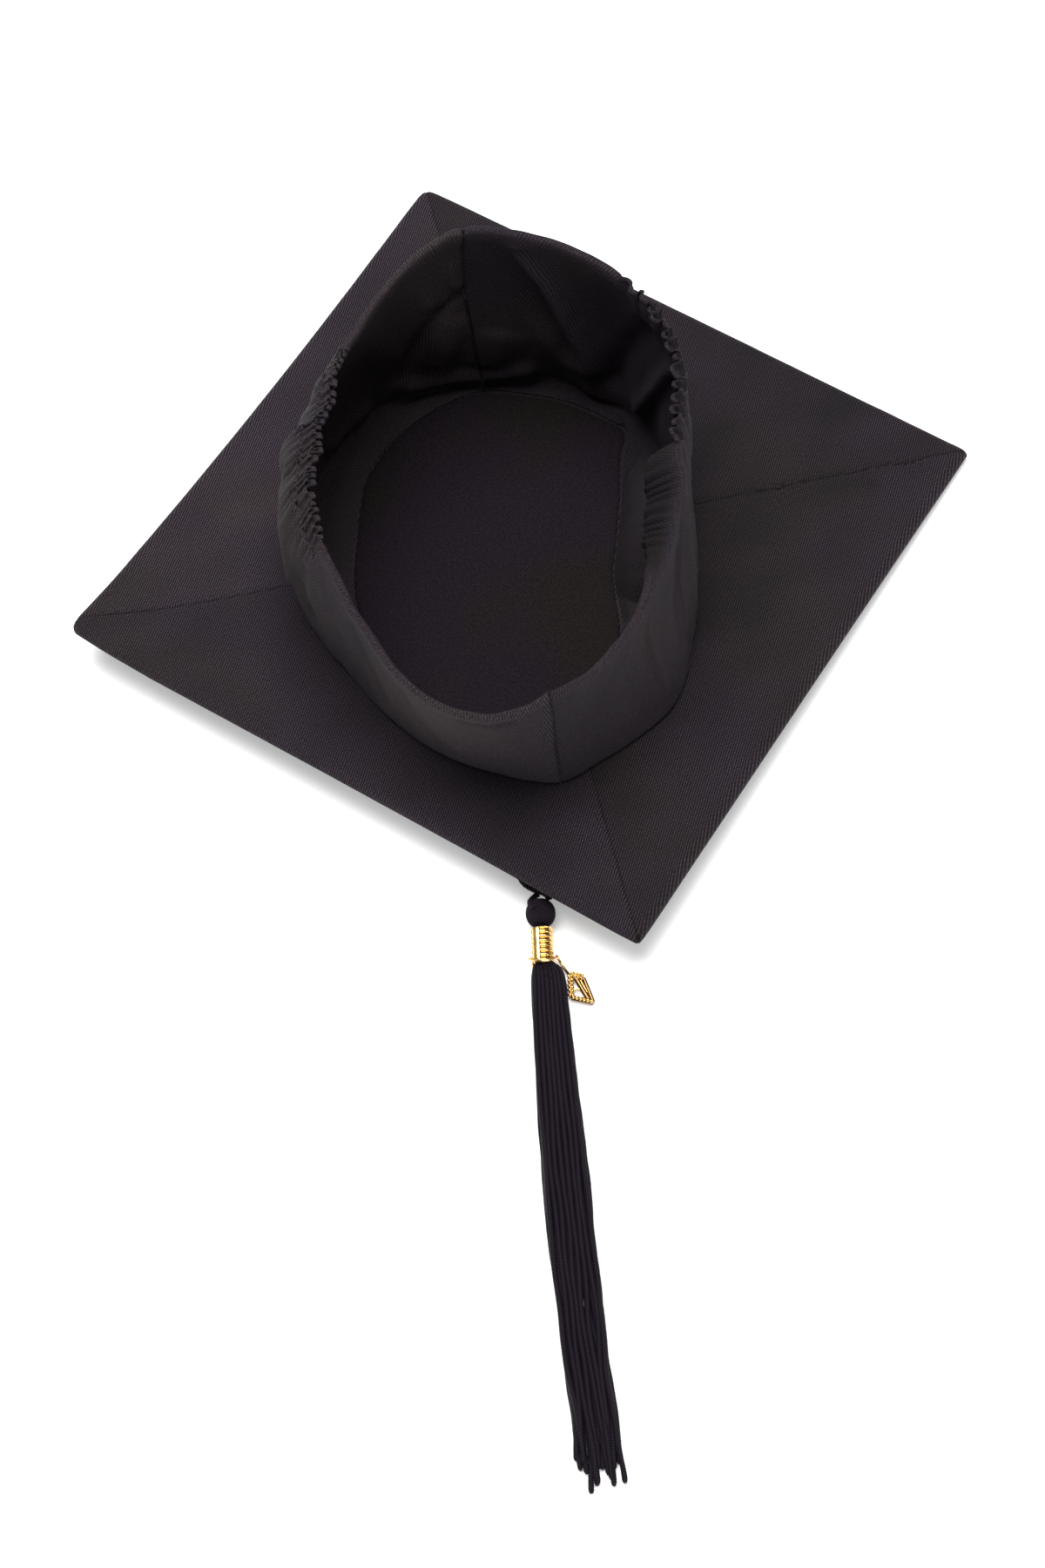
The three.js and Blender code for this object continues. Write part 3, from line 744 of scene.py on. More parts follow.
@dataclass(frozen=True)
class Twill:
    """Black twill: diagonal ribs of yarn, with soft patches of a warmer and a cooler black."""

    name: str
    furrow: Triple = (0.003, 0.0015, 0.0032)
    rib: Triple = (0.0405, 0.0295, 0.0405)
    warm: Triple = (0.033, 0.026, 0.0195)
    warm_share: float = 0.55
    warm_from: float = 0.5
    warm_fade: float = 0.14
    pitch: float = 0.85
    float_length: float = 1.3
    float_turn: float = 52.0
    rib_share: float = 0.62
    float_share: float = 0.14
    grain_share: float = 0.5
    yarn_noise: float = 2300.0
    mottle_noise: float = 1000.0
    patch_noise: float = 17.0
    wear_noise: float = 9.0
    furrow_level: float = 0.44
    rib_level: float = 1.08
    relief: float = 0.13
    gloss: float = 0.2
    sheen: float = 0.05

    def weave(self, n: Nodes, cloth: NodeSocket) -> NodeSocket:
        """How high the cloth stands: its ribs, its floats and its yarn, added up.

        Args:
            n: The material's nodes.
            cloth: The cloth's coordinates.

        Returns:
            The height, from about 0 to a little over 1.
        """
        ribs = n.wave(cloth, self.pitch, (0.7, 1.0, 0.6))
        floats = n.wave(n.turned(cloth, self.float_turn), self.float_length, (2.5, 2.0, 1.4))
        yarn = n.spread(n.noise(cloth, self.yarn_noise, 3.0, 0.8), 0.34, 0.66, 0.0, 1.0)
        ribbed = n.math("MULTIPLY", ribs, self.rib_share)
        both = n.math("ADD", ribbed, n.math("MULTIPLY", floats, self.float_share))
        return n.math("ADD", both, n.math("MULTIPLY", yarn, self.grain_share))

    def make(self) -> Material:
        """Builds the material.

        Returns:
            The material.
        """
        n = Nodes(self.name)
        cloth, place = n.cloth(), n.place()
        weave = self.weave(n, cloth)
        painted_light_and_wear = n.add("ShaderNodeAttribute", {".attribute_name": PAINTED_LIGHT_AND_WEAR}).outputs["Fac"]
        patches = n.noise(place, self.patch_noise, 5.0, 0.62)
        # Painted shade is also a little warmer
        warmth = n.math("ADD", patches, n.spread(painted_light_and_wear, -0.5, 0.0, 0.12, 0.0))
        warmth = n.spread(warmth, self.warm_from, self.warm_from + self.warm_fade, 0.0, self.warm_share)
        cool = n.blend(n.spread(weave, self.furrow_level, self.rib_level, 0.0, 1.0), self.furrow, self.rib)
        warmed = n.spread(weave, self.furrow_level, self.rib_level, 0.1, 1.0)
        warmed = n.blend(warmed, self.furrow, self.warm)
        shade = n.add("ShaderNodeHueSaturation", Color=n.blend(warmth, cool, warmed))
        worn = n.spread(n.noise(place, self.wear_noise, 3.0, 0.55), 0.36, 0.64, 0.8, 1.2)
        mottled = n.spread(n.noise(cloth, self.mottle_noise, 3.0, 0.75), 0.36, 0.64, 0.7, 1.3)
        # Lighter or darker by the noise of wear and by the painted light and shade on the piece
        lightness = n.math("MULTIPLY", worn, n.spread(painted_light_and_wear, -1.0, 1.0, 0.1, 1.9))
        n.link(n.math("MULTIPLY", lightness, mottled), shade.inputs["Value"])
        n.bump(weave, self.relief)
        n.link(n.spread(weave, 0.2, 1.0, 0.96, 0.76), n.shader.inputs["Roughness"])
        return n.dress(shade.outputs[0], {
            "Specular IOR Level": self.gloss, "Sheen Weight": self.sheen, "Sheen Roughness": 0.45,
            "Sheen Tint": (0.9, 0.75, 0.9, 1.0),
        })


@dataclass(frozen=True)
class LiningCloth:
    """Smooth black lining with a fine even grain."""

    name: str = "lining_grain"
    dark: Triple = (0.0020, 0.0010, 0.0022)
    light: Triple = (0.0115, 0.0070, 0.0120)
    warm: Triple = (0.0115, 0.0086, 0.0058)
    grain_noise: float = 1150.0
    cell_noise: float = 1900.0
    patch_noise: float = 14.0
    relief: float = 0.08

    def make(self) -> Material:
        """Builds the material.

        Returns:
            The material.
        """
        n = Nodes(self.name)
        cloth, place = n.cloth(), n.place()
        grain = n.spread(n.noise(cloth, self.grain_noise, 3.0, 0.85), 0.38, 0.62, 0.0, 1.0)
        cells = n.add("ShaderNodeTexVoronoi", {"Scale": self.cell_noise}, Vector=cloth).outputs["Distance"]
        height = n.math("ADD", n.math("MULTIPLY", grain, 0.7), n.math("MULTIPLY", cells, 0.4))
        cool = n.blend(n.spread(height, 0.15, 0.9, 0.0, 1.0), self.dark, self.light)
        warmed = n.blend(n.spread(height, 0.15, 0.9, 0.0, 1.0), self.dark, self.warm)
        patches = n.spread(n.noise(place, self.patch_noise, 3.0, 0.5), 0.48, 0.6, 0.0, 0.8)
        n.bump(height, self.relief)
        return n.dress(n.blend(patches, cool, warmed), {
            "Roughness": 0.9, "Specular IOR Level": 0.15, "Sheen Weight": 0.03, "Sheen Roughness": 0.4,
        })


@dataclass(frozen=True)
class Thread:
    """Deep black rayon thread with a slight sheen, in fine turns across each cord."""

    name: str
    turn_pitch: float = 0.8
    slant: float = 78.0
    fibre_noise: float = 3200.0
    relief: float = 0.16
    dark: Triple = (0.0022, 0.0012, 0.0026)
    light: Triple = (0.0150, 0.0092, 0.0175)

    def make(self) -> Material:
        """Builds the material.

        Returns:
            The material.
        """
        n = Nodes(self.name)
        cloth = n.cloth()
        turns = n.wave(n.turned(cloth, self.slant), self.turn_pitch, (0.8, 1.0, 0.8))
        fibres = n.noise(cloth, self.fibre_noise, 2.0, 0.6)
        height = n.math("ADD", n.math("MULTIPLY", turns, 0.75), n.math("MULTIPLY", fibres, 0.3))
        colour = n.blend(n.spread(height, 0.3, 0.9, 0.0, 1.0), self.dark, self.light)
        n.bump(height, self.relief)
        return n.dress(colour, {
            "Roughness": 0.62, "Specular IOR Level": 0.12, "Sheen Weight": 0.02, "Sheen Roughness": 0.35,
        })


@dataclass(frozen=True)
class Gold:
    """Gold coloured plating: polished, fine scuffs, tarnish in grooves, painted dark reflection on bars."""

    name: str = "polished_gold_plating"
    bright: Triple = (0.90, 0.60, 0.22)
    dull: Triple = (0.50, 0.29, 0.10)
    tarnish: Triple = (0.13, 0.065, 0.025)
    stain_noise: float = 420.0
    scuff_noise: float = 2400.0
    relief: float = 0.012

    def make(self) -> Material:
        """Builds the material.

        Returns:
            The material.
        """
        n = Nodes(self.name)
        place = n.place()
        stains = n.spread(n.noise(place, self.stain_noise, 4.0, 0.6), 0.42, 0.75, 0.0, 0.8)
        # Tarnish in the ferrule's grooves and seam, and a painted dark reflection on the drop's thicker
        # bars
        tarnish_and_dark_reflection = n.add("ShaderNodeAttribute", {".attribute_name": TARNISH_AND_DARK_REFLECTION}).outputs["Fac"]
        colour = n.blend(tarnish_and_dark_reflection, n.blend(stains, self.bright, self.dull), self.tarnish)
        scuffs = n.noise(place, self.scuff_noise, 3.0, 0.6)
        n.link(n.spread(scuffs, 0.3, 0.75, 0.12, 0.3), n.shader.inputs["Roughness"])
        n.bump(scuffs, self.relief)
        return n.dress(colour, {"Metallic": 1.0})


class Finishes:
    """All finishes, made once."""

    def __init__(self) -> None:
        """Builds each material."""
        self.board = Twill("black_twill_board").make()
        soft = {
            "furrow": (0.006, 0.004, 0.006), "rib_share": 0.46, "float_share": 0.12, "grain_share": 0.64,
            "relief": 0.1, "sheen": 0.015,
        }
        # Copies of one twill: the left half painted lighter, the right painted darker, for light from the
        # left
        left = {
            "rib": (0.037, 0.0275, 0.037), "warm": (0.034, 0.0262, 0.020), "warm_share": 0.7,
            "warm_from": 0.42,
        }
        right = {"rib": (0.0235, 0.017, 0.0245), "warm_share": 0.5, "warm_from": 0.54}
        self.cap = {
            Side.LEFT: Twill("black_twill_cap_left", **left, **soft).make(),
            Side.RIGHT: Twill("black_twill_cap_right", **right, **soft).make(),
        }
        self.lining = LiningCloth().make()
        self.cord = Thread("black_cord_thread", turn_pitch=0.55).make()
        self.skirt = Thread("black_skirt_thread").make()
        self.stitch = Thread("black_sewing_thread", turn_pitch=0.3).make()
        self.gold = Gold().make()


@dataclass
class Maker:
    """What makes one sort of piece: it knows all finishes, and the frame its pieces are settled in."""

    finishes: Finishes
    place: Matrix


# Frames of the hat and the tassel


@dataclass(frozen=True)
class HatFrame:
    """Where the hat stands: its origin is the middle of the underside, which faces up."""

    button_end: float = 10.8
    board_bottom: float = 4.5
    half_side: float = 120.65
    button_flat: float = 7.0

    def matrix(self) -> Matrix:
        """Where the hat stands when it leans on its button and on its back right edge.

        Returns:
            The frame, in metres.
        """
        lean = math.atan((self.button_end - self.board_bottom) / (self.half_side - self.button_flat))
        height = self.board_bottom * math.cos(lean) + self.half_side * math.sin(lean)
        axis = Vector((-1.0, 1.0, 0.0)).normalized()
        return Matrix.Translation((0.0, 0.0, height * MM)) @ Matrix.Rotation(lean, 4, axis)


@dataclass(frozen=True)
class TasselFrame:
    """Where the tassel lies: its origin is the knot's middle and +X runs along the skirt."""

    knot: Triple = (-29.4, -147.0, 5.55)
    way: tuple[float, float] = (-0.195, -0.981)
    floor_clearance: float = 0.05

    def matrix(self) -> Matrix:
        """The frame in metres."""
        turn = math.atan2(self.way[1], self.way[0])
        return Matrix.Translation(Vector(self.knot) * MM) @ Matrix.Rotation(turn, 4, "Z")

    def floor(self) -> float:
        """How low the tassel's pieces may reach, in the tassel's frame."""
        return self.floor_clearance - self.knot[2]


# Camera, floor and light


@dataclass(frozen=True)
class Softbox:
    """One lamp that faces the hat: its place and size in metres and its power in watts."""

    name: str
    place: Triple
    size: tuple[float, float]
    power: float


@dataclass
class Studio:
    """The camera, the pale floor and soft light from above."""

    eye: Triple = (-0.115763, -0.630578, 1.087274)
    look: Triple = (0.07600, 0.44189, -0.89383)
    up: Triple = (0.22059, 0.86676, 0.44726)
    lens: float = 77.4
    sensor: float = 36.0
    floor_size: float = 12.0
    floor_drop: float = 0.0003
    floor_glow: float = 0.3
    air_light: float = 0.35
    lamps: tuple[Softbox, ...] = (
        Softbox("softbox_above", (-0.1, 0.42, 1.85), (1.5, 1.5), 58.0),
        Softbox("low_fill", (-0.1, -1.7, 0.16), (0.9, 0.3), 11.0),
    )

    def camera(self) -> Object:
        """Makes the camera at the photograph's viewing angle.

        Returns:
            The camera.
        """
        data = bpy.data.cameras.new("studio_camera")
        data.sensor_fit, data.sensor_height, data.sensor_width = "VERTICAL", self.sensor, self.sensor
        data.lens = self.lens
        data.clip_start, data.clip_end = 0.05, 50.0
        obj = bpy.data.objects.new("studio_camera", data)
        bpy.context.scene.collection.objects.link(obj)
        back = -Vector(self.look).normalized()
        right = Vector(self.up).cross(back).normalized()
        turn = Matrix((right, back.cross(right), back)).transposed().to_4x4()
        obj.matrix_world = Matrix.Translation(self.eye) @ turn
        bpy.context.scene.camera = obj
        return obj

    def floor(self) -> Object:
        """Lays the pale floor.

        Returns:
            The floor.
        """
        put_down()
        bpy.ops.mesh.primitive_plane_add(size=self.floor_size, location=(0.0, 0.0, -self.floor_drop))
        floor = newest("pale_floor")
        settle(floor)
        n = Nodes("pale_floor_paper")
        grain = n.noise(n.place(), 60.0, 3.0, 0.5)
        colour = n.blend(grain, (0.93, 0.93, 0.93), (0.95, 0.95, 0.95))
        floor.data.materials.append(n.dress(colour, {
            "Roughness": 0.9, "Specular IOR Level": 0.1, "Emission Color": (1.0, 1.0, 1.0, 1.0),
            "Emission Strength": self.floor_glow,
        }))
        return floor

    def light(self, softbox: Softbox) -> Object:
        """Hangs one softbox.

        Args:
            softbox: The lamp's sizes.

        Returns:
            The lamp.
        """
        data = bpy.data.lights.new(softbox.name, "AREA")
        data.shape, data.size, data.size_y, data.energy = "RECTANGLE", *softbox.size, softbox.power
        lamp = bpy.data.objects.new(softbox.name, data)
        bpy.context.scene.collection.objects.link(lamp)
        lamp.location = softbox.place
        lamp.rotation_mode = "QUATERNION"
        lamp.rotation_quaternion = (-Vector(softbox.place)).to_track_quat("-Z", "Y")
        return lamp

    def build(self) -> None:
        """Sets up the whole studio."""
        self.camera()
        self.floor()
        for softbox in self.lamps:
            self.light(softbox)
        world = bpy.data.worlds.new("studio_air")
        bpy.context.scene.world = world
        world.use_nodes = True
        air = world.node_tree.nodes["Background"]
        air.inputs["Color"].default_value = (1.0, 1.0, 1.0, 1.0)
        air.inputs["Strength"].default_value = self.air_light
        bpy.context.scene.view_settings.view_transform = "Standard"


# Board and its underside


@dataclass
class BoardShape:
    """The square board's outline in the hat's frame: bowed edges and a left corner that curls up."""

    half_side: float = 120.65
    bows: dict[float, float] = field(
        default_factory=lambda: {-45.0: 0.2, 45.0: 0.0, 135.0: 2.8, 225.0: 0.4}
    )
    curl: float = 3.2
    curl_reach: float = 34.0

    def warp(self, points: Array) -> Array:
        """Bows the edges inward and curls the left corner up.

        Args:
            points: Places on a flat square board, in millimetres, in the last axis.

        Returns:
            The moved places.
        """
        moved = points.copy()
        for angle, bow in self.bows.items():
            out = np.array([math.cos(math.radians(angle)), math.sin(math.radians(angle))])
            side = np.array([-out[1], out[0]])
            near = points[..., :2] @ out / self.half_side
            share = np.clip(points[..., :2] @ side / self.half_side, -1, 1)
            inward = bow * (1 - share**2) * smoothstep(0.3, 1.0, near)
            moved[..., :2] -= inward[..., None] * out
        corner = self.half_side * math.sqrt(2) + moved[..., 0]
        away = np.hypot(corner, moved[..., 1] * 0.7)
        moved[..., 2] += self.curl * np.clip(1 - away / self.curl_reach, 0, 1) ** 2
        return moved


@dataclass
class Board(Maker):
    """The stiff square board with cloth wrapped round its edges and over its top face."""

    shape: BoardShape
    thickness: float = 3.2
    bottom: float = 4.5
    ribs: float = BOARD_RIBS
    edge_round: float = 0.9
    grid: float = 6.0
    cuts: int = 19
    swell: float = 0.12
    swell_reach: float = 170.0
    sag: float = 0.08
    sag_below: float = -3.5
    corner_rounds: dict[float, float] = field(
        default_factory=lambda: {-90.0: 2.2, 0.0: 2.2, 90.0: 5.0, 180.0: 3.0}
    )

    def round_corners(self, obj: Object) -> None:
        """Rounds each upright corner edge by its own amount, before the board is turned.

        Args:
            obj: The board's block, with its sides along X and Y.
        """
        reach = 1.3 * self.shape.half_side * MM
        for angle, amount in self.corner_rounds.items():
            turn = math.radians(angle - 45.0)
            way = Vector((math.cos(turn), math.sin(turn), 0.0))
            open_up(obj)
            select_where(obj, Parts.EDGES, lambda e: along_axis(e, 2) and middle(e).dot(way) > reach)
            bpy.ops.mesh.bevel(offset=amount * MM, segments=5, affect="EDGES")
            put_down()

    def build(self) -> Object:
        """Makes the board.

        Returns:
            The board.
        """
        put_down()
        side = 2 * self.shape.half_side * MM
        bpy.ops.mesh.primitive_cube_add(size=1.0, location=(0, 0, (self.thickness / 2 - self.bottom) * MM))
        obj = newest("wrapped_board")
        obj.scale = (side, side, self.thickness * MM)
        settle(obj)
        self.round_corners(obj)
        open_up(obj)
        select_where(obj, Parts.EDGES, lambda e: abs(e.verts[0].co.z - e.verts[1].co.z) < 1e-7)
        bpy.ops.mesh.bevel(offset=self.edge_round * MM, segments=4, affect="EDGES")
        for axis in (Vector((1, 0, 0)), Vector((0, 1, 0))):
            for step in range(-self.cuts, self.cuts + 1):
                bpy.ops.mesh.select_all(action="SELECT")
                bpy.ops.mesh.bisect(plane_co=axis * (step * self.grid * MM), plane_no=axis)
        put_down()
        obj.data.transform(Matrix.Rotation(math.radians(45), 4, "Z"))
        points = coordinates(obj) / MM
        side_swell = self.swell * ripples(points[:, 0], points[:, 1], 23.0, 5)
        points[:, :2] *= 1 + side_swell[:, None] / self.swell_reach
        sagged = -self.sag * (1 + ripples(points[:, 0], points[:, 1], 31.0, 6))
        points[:, 2] += np.where(points[:, 2] < self.sag_below, sagged, 0)
        set_coordinates(obj, self.shape.warp(points) * MM)
        set_weave(obj, self.ribs)
        settle(obj, self.place)
        smooth(obj, 40)
        return hand_over(obj, ["board"], self.finishes.board)


@dataclass(frozen=True)
class Dent:
    """A soft hollow or rise in the underside's cloth, along a line of places."""

    line: Table
    depth: float
    width: float


@dataclass
class Underside(Maker):
    """Four cloth triangles stretched over the underside, sewn to each other in mitres."""

    shape: BoardShape
    ribs: float = BOARD_RIBS
    thickness: float = 0.8
    columns: int = 170
    rows: int = 84
    crowding: float = 0.138
    row_crowding: float = 1.6
    tip_share: float = 0.97
    seam_gap: float = 0.14
    seam_roll: float = 1.5
    seam_depth: float = 1.0
    seam_welt: float = 0.16
    seam_shade_width: float = 0.55
    edge_roll: float = 2.4
    edge_swell: float = 0.28
    edge_inset: float = 0.1
    tip_reach: float = 25.0
    tip_rounds: dict[float, float] = field(
        default_factory=lambda: {-90.0: 0.9, 0.0: 0.2, 90.0: 2.4, 180.0: 2.6}
    )
    names: tuple[tuple[str, float], ...] = (
        ("front_right", -90.0), ("back_right", 0.0), ("back_left", 90.0), ("front_left", 180.0),
    )
    # Painted light and shade on each panel: lighter or darker as the light falls across the board
    painted_panel_light: dict[str, float] = field(default_factory=lambda: {
        "front_right": -0.2, "back_right": -0.26, "back_left": 0.24, "front_left": 0.04,
    })
    # Place, reach and depth of painted shade and painted light on the slack cloth: below zero is darker
    shades: Table = (
        (-56, -50, 17, -0.3), (-36, -74, 17, -0.34), (-19, -103, 13, -0.3), (-7, -123, 11, 0.3),
        (68, -50, 19, -0.3), (88, -16, 16, -0.28), (119, -5, 13, -0.2), (112, 66, 15, -0.22),
        (135, 39, 13, -0.18), (-95, -38, 30, 0.12), (34, -112, 18, 0.16),
    )
    left_seam_stray: Table = ((0.0, 0.0), (90.0, 0.0), (132.0, 0.9), (163.0, 2.5), (170.6, 0.6))
    pucker_pitch: float = 3.2
    pucker_height: float = 0.6
    stitched: tuple[float, float] = (92.0, 166.0)
    stitch_reach: float = 0.95
    stitch_radius: float = 0.2
    dents: tuple[Dent, ...] = (
        Dent(((112.0, -4.5), (114.0, -14.0), (114.5, -26.0), (113.4, -36.0)), -1.7, 5.0),
        Dent(((121.0, -4.0), (123.0, -17.0), (124.0, -28.0)), 0.8, 4.0),
        Dent(((131.0, -3.5), (133.0, -9.0), (134.0, -13.0)), -1.3, 2.6),
        Dent(((139.0, -3.0), (141.0, -9.0)), 0.7, 2.6),
        Dent(((147.5, -2.6), (149.4, -6.5), (150.5, -10.0)), -1.0, 2.2),
        Dent(((100.0, -4.0), (102.0, -10.0), (103.0, -15.0)), -0.7, 3.0),
        Dent(((96.0, 4.0), (98.0, 13.0), (97.0, 24.0)), -0.4, 4.0),
        Dent(((128.0, 3.0), (130.0, 9.0)), -0.35, 2.6),
        Dent(((-120.0, -8.0), (-112.0, -22.0), (-98.0, -38.0)), -0.4, 6.0),
        Dent(((-6.0, -128.0), (-11.0, -140.0)), -0.3, 3.0),
    )

    def stray(self, reach: Array, angle: float) -> Array:
        """How far a mitre seam strays anticlockwise from its corner's diagonal.

        Args:
            reach: Distance from the middle, in millimetres.
            angle: The corner's direction.

        Returns:
            The stray, in millimetres.
        """
        if angle == 180.0:
            xs, ys = zip(*self.left_seam_stray)
            return -curve_through(xs, np.array(ys), reach)
        wave = 0.35 if angle == 0.0 else 0.12
        last = 1 - smoothstep(155, 168, reach)
        return wave * np.sin(reach / 4.1 + angle) * smoothstep(60, 90, reach) * last

    def puckers(self, x: Array, y: Array) -> Array:
        """Gathers beside the right mitre, where hand stitches pull the cloth together.

        Args:
            x: Places along the seam, in millimetres.
            y: Places across the seam, in millimetres.

        Returns:
            Heights in millimetres.
        """
        beside = np.exp(-np.abs(y) / 3.0) * smoothstep(70, 95, x) * (1 - smoothstep(160, 169, x))
        uneven = 0.75 + 0.45 * np.sin(x / 7.3 + 0.8)
        gathers = np.sin(FULL_TURN * x / self.pucker_pitch + 0.5 * np.sin(x / 9))
        return self.pucker_height * uneven * beside * gathers

    def relief(self, x: Array, y: Array, seams: Sequence[Array]) -> Array:
        """The cloth's height over a flat panel: slack, puckers, dents and its rolls into the mitres.

        Args:
            x: Places in the hat's frame, in millimetres.
            y: The same places' other coordinate.
            seams: Distances from the two mitres.

        Returns:
            Heights in millimetres.
        """
        height = 0.10 * ripples(x, y, 34.0, 11) + 0.05 * ripples(x, y, 12.0, 12)
        height += self.puckers(x, y)
        for dent in self.dents:
            away, place = near_line(x, y, dent.line)
            fade = np.sin(math.pi * np.clip(place, 0.12, 0.88))
            height += dent.depth * np.exp(-((away / dent.width) ** 2)) * fade
        for away in seams:
            inside = np.clip(1 - away / self.seam_roll, 0, 1)
            height -= self.seam_depth * (1 - np.sqrt(np.maximum(1 - inside**2, 0)))
            height += self.seam_welt * np.exp(-(((away - 2.6) / 1.6) ** 2))
        return height

    def shading(self, name: str, x: Array, y: Array, seams: Sequence[Array]) -> Array:
        """Painted shade and painted light on the cloth.

        Args:
            name: The edge that the panel lies along.
            x: Places in the hat's frame, in millimetres.
            y: The same places' other coordinate.
            seams: Distances from the two mitres.

        Returns:
            Values from about -1, painted shade, to 1, painted light.
        """
        # Painted shade in the mitres, dotted at the stitch pitch along the stitched right mitre
        dotted = 0.6 - 0.4 * np.sin(FULL_TURN * x / self.pucker_pitch)
        stitched = {"back_right": (dotted, 1.0), "front_right": (1.0, dotted)}.get(name, (1.0, 1.0))
        first, last = (
            share * np.exp(-((away / self.seam_shade_width) ** 4)) for share, away in zip(stitched, seams)
        )
        # Each panel's painted light, a little random tone, then the painted shades and lights of the table
        shaded = -first - last + self.painted_panel_light[name] + 0.12 * ripples(x, y, 24.0, 13)
        for across, along, reach, depth in self.shades:
            apart = (x - across) ** 2 + (y - along) ** 2
            shaded = shaded + depth * np.exp(-apart / reach**2)
        return shaded

    def panel(self, name: str, corner: float) -> Object:
        """Makes one triangle of cloth in the hat's frame.

        Args:
            name: The edge that it lies along.
            corner: Direction of its first corner, going anticlockwise.

        Returns:
            The cloth as a sheet with a thickness.
        """
        half = self.shape.half_side
        ends = [
            np.array([math.cos(math.radians(a)), math.sin(math.radians(a))]) for a in (corner, corner + 90)
        ]
        s = np.linspace(0, 1, self.columns)[:, None]
        s = s - self.crowding * np.sin(FULL_TURN * s)
        t = (np.linspace(0, 1, self.rows)[None, :] ** self.row_crowding) * self.tip_share
        reach = half * math.sqrt(2) * (1 - t)
        base = (ends[0] * (1 - s[..., None]) + ends[1] * s[..., None]) * reach[..., None]
        turned = [np.array([-e[1], e[0]]) for e in ends]
        strays = [self.stray(reach, angle) for angle in (corner, (corner + 90) % 360)]
        first, last = (stray[..., None] * (ends[1] - ends[0]) for stray in strays)
        flat = base + first * (1 - s[..., None]) ** 3 + last * s[..., None] ** 3
        to_first = (flat - ends[0] * reach[..., None]) @ turned[0] - strays[0]
        to_last = -((flat - ends[1] * reach[..., None]) @ turned[1]) + strays[1]
        edge = half - flat @ ((ends[0] + ends[1]) / math.sqrt(2))
        x, y = flat[..., 0], flat[..., 1]
        height = self.relief(x, y, (to_first, to_last))
        shaded = self.shading(name, x, y, (to_first, to_last))
        rim = np.clip(1 - edge / self.edge_roll, 0, 1)
        height -= self.edge_roll * (1 - np.sqrt(np.maximum(1 - rim**2, 0)))
        for end, angle in zip(ends, (corner, corner + 90 if corner < 180 else -90.0)):
            left = half * math.sqrt(2) - flat @ end
            tip = self.tip_rounds[angle]
            rounded = np.sqrt(left**2 + tip**2) - left
            flat = flat - end * rounded[..., None] * (left < self.tip_reach)[..., None]
        outward = (ends[0] + ends[1]) / math.sqrt(2)
        flat = flat + outward * (self.edge_swell * rim - self.edge_inset)[..., None]
        for way, share, sign in ((turned[0], 1 - s, 1), (turned[1], s, -1)):
            flat = flat + sign * way * (self.seam_gap / 2) * share[..., None] ** 6
        points = np.concatenate([flat, height[..., None]], -1)
        cloth = strip_turned(x * MM, y * MM, self.ribs)
        skin = Skin()
        skin.add(self.shape.warp(points) * MM, cloth, painted_light_and_wear=shaded)
        obj = skin.build(f"underside_cloth_{name}")
        thicken(obj, self.thickness)
        if max(p.normal.z for p in obj.data.polygons[:10]) < 0:
            face_outwards(obj)
        return obj

    def stitches(self) -> Object:
        """Makes the small hand stitches across the right mitre.

        Returns:
            All stitches as one piece.
        """
        rng = np.random.default_rng(21)
        skin = Skin()
        for reach in np.arange(*self.stitched, self.pucker_pitch):
            centre = reach + rng.uniform(-0.4, 0.4)
            side = float(self.stray(np.array([centre]), 0.0)[0])
            slope = rng.uniform(-0.5, 0.5)
            t = np.linspace(-1, 1, 7)
            line = np.stack([centre + slope * t, side + self.stitch_reach * t, 0.18 - 0.75 * t**2], 1)
            add_tube(skin, line * MM, (self.stitch_radius * np.sqrt(1.02 - t**4)) * MM, 6)
        obj = skin.build("mitre_stitches")
        settle(obj, self.place)
        face_outwards(obj)
        smooth(obj)
        return hand_over(obj, [], self.finishes.stitch)

    def build(self) -> list[Object]:
        """Makes the four triangles and the stitches.

        Returns:
            The pieces.
        """
        pieces = []
        stitches = self.stitches()
        for name, corner in self.names:
            obj = self.panel(name, corner)
            settle(obj, self.place)
            smooth(obj)
            hand_over(obj, [f"underside_panel_{name}"], self.finishes.board)
            pieces.append(obj)
        return [*pieces, stitches]


# Soft cap


@dataclass(frozen=True)
class Crease:
    """A crease in the cap's wall along a line of (angle, height), out from the cap if above 0."""

    line: Table
    depth: float
    width: float


@dataclass(frozen=True)
class Gather:
    """An elastic casing in the rim, between two angles."""

    side: Side
    start: float
    end: float
    ruffles: int
    seed: int
    sway: float


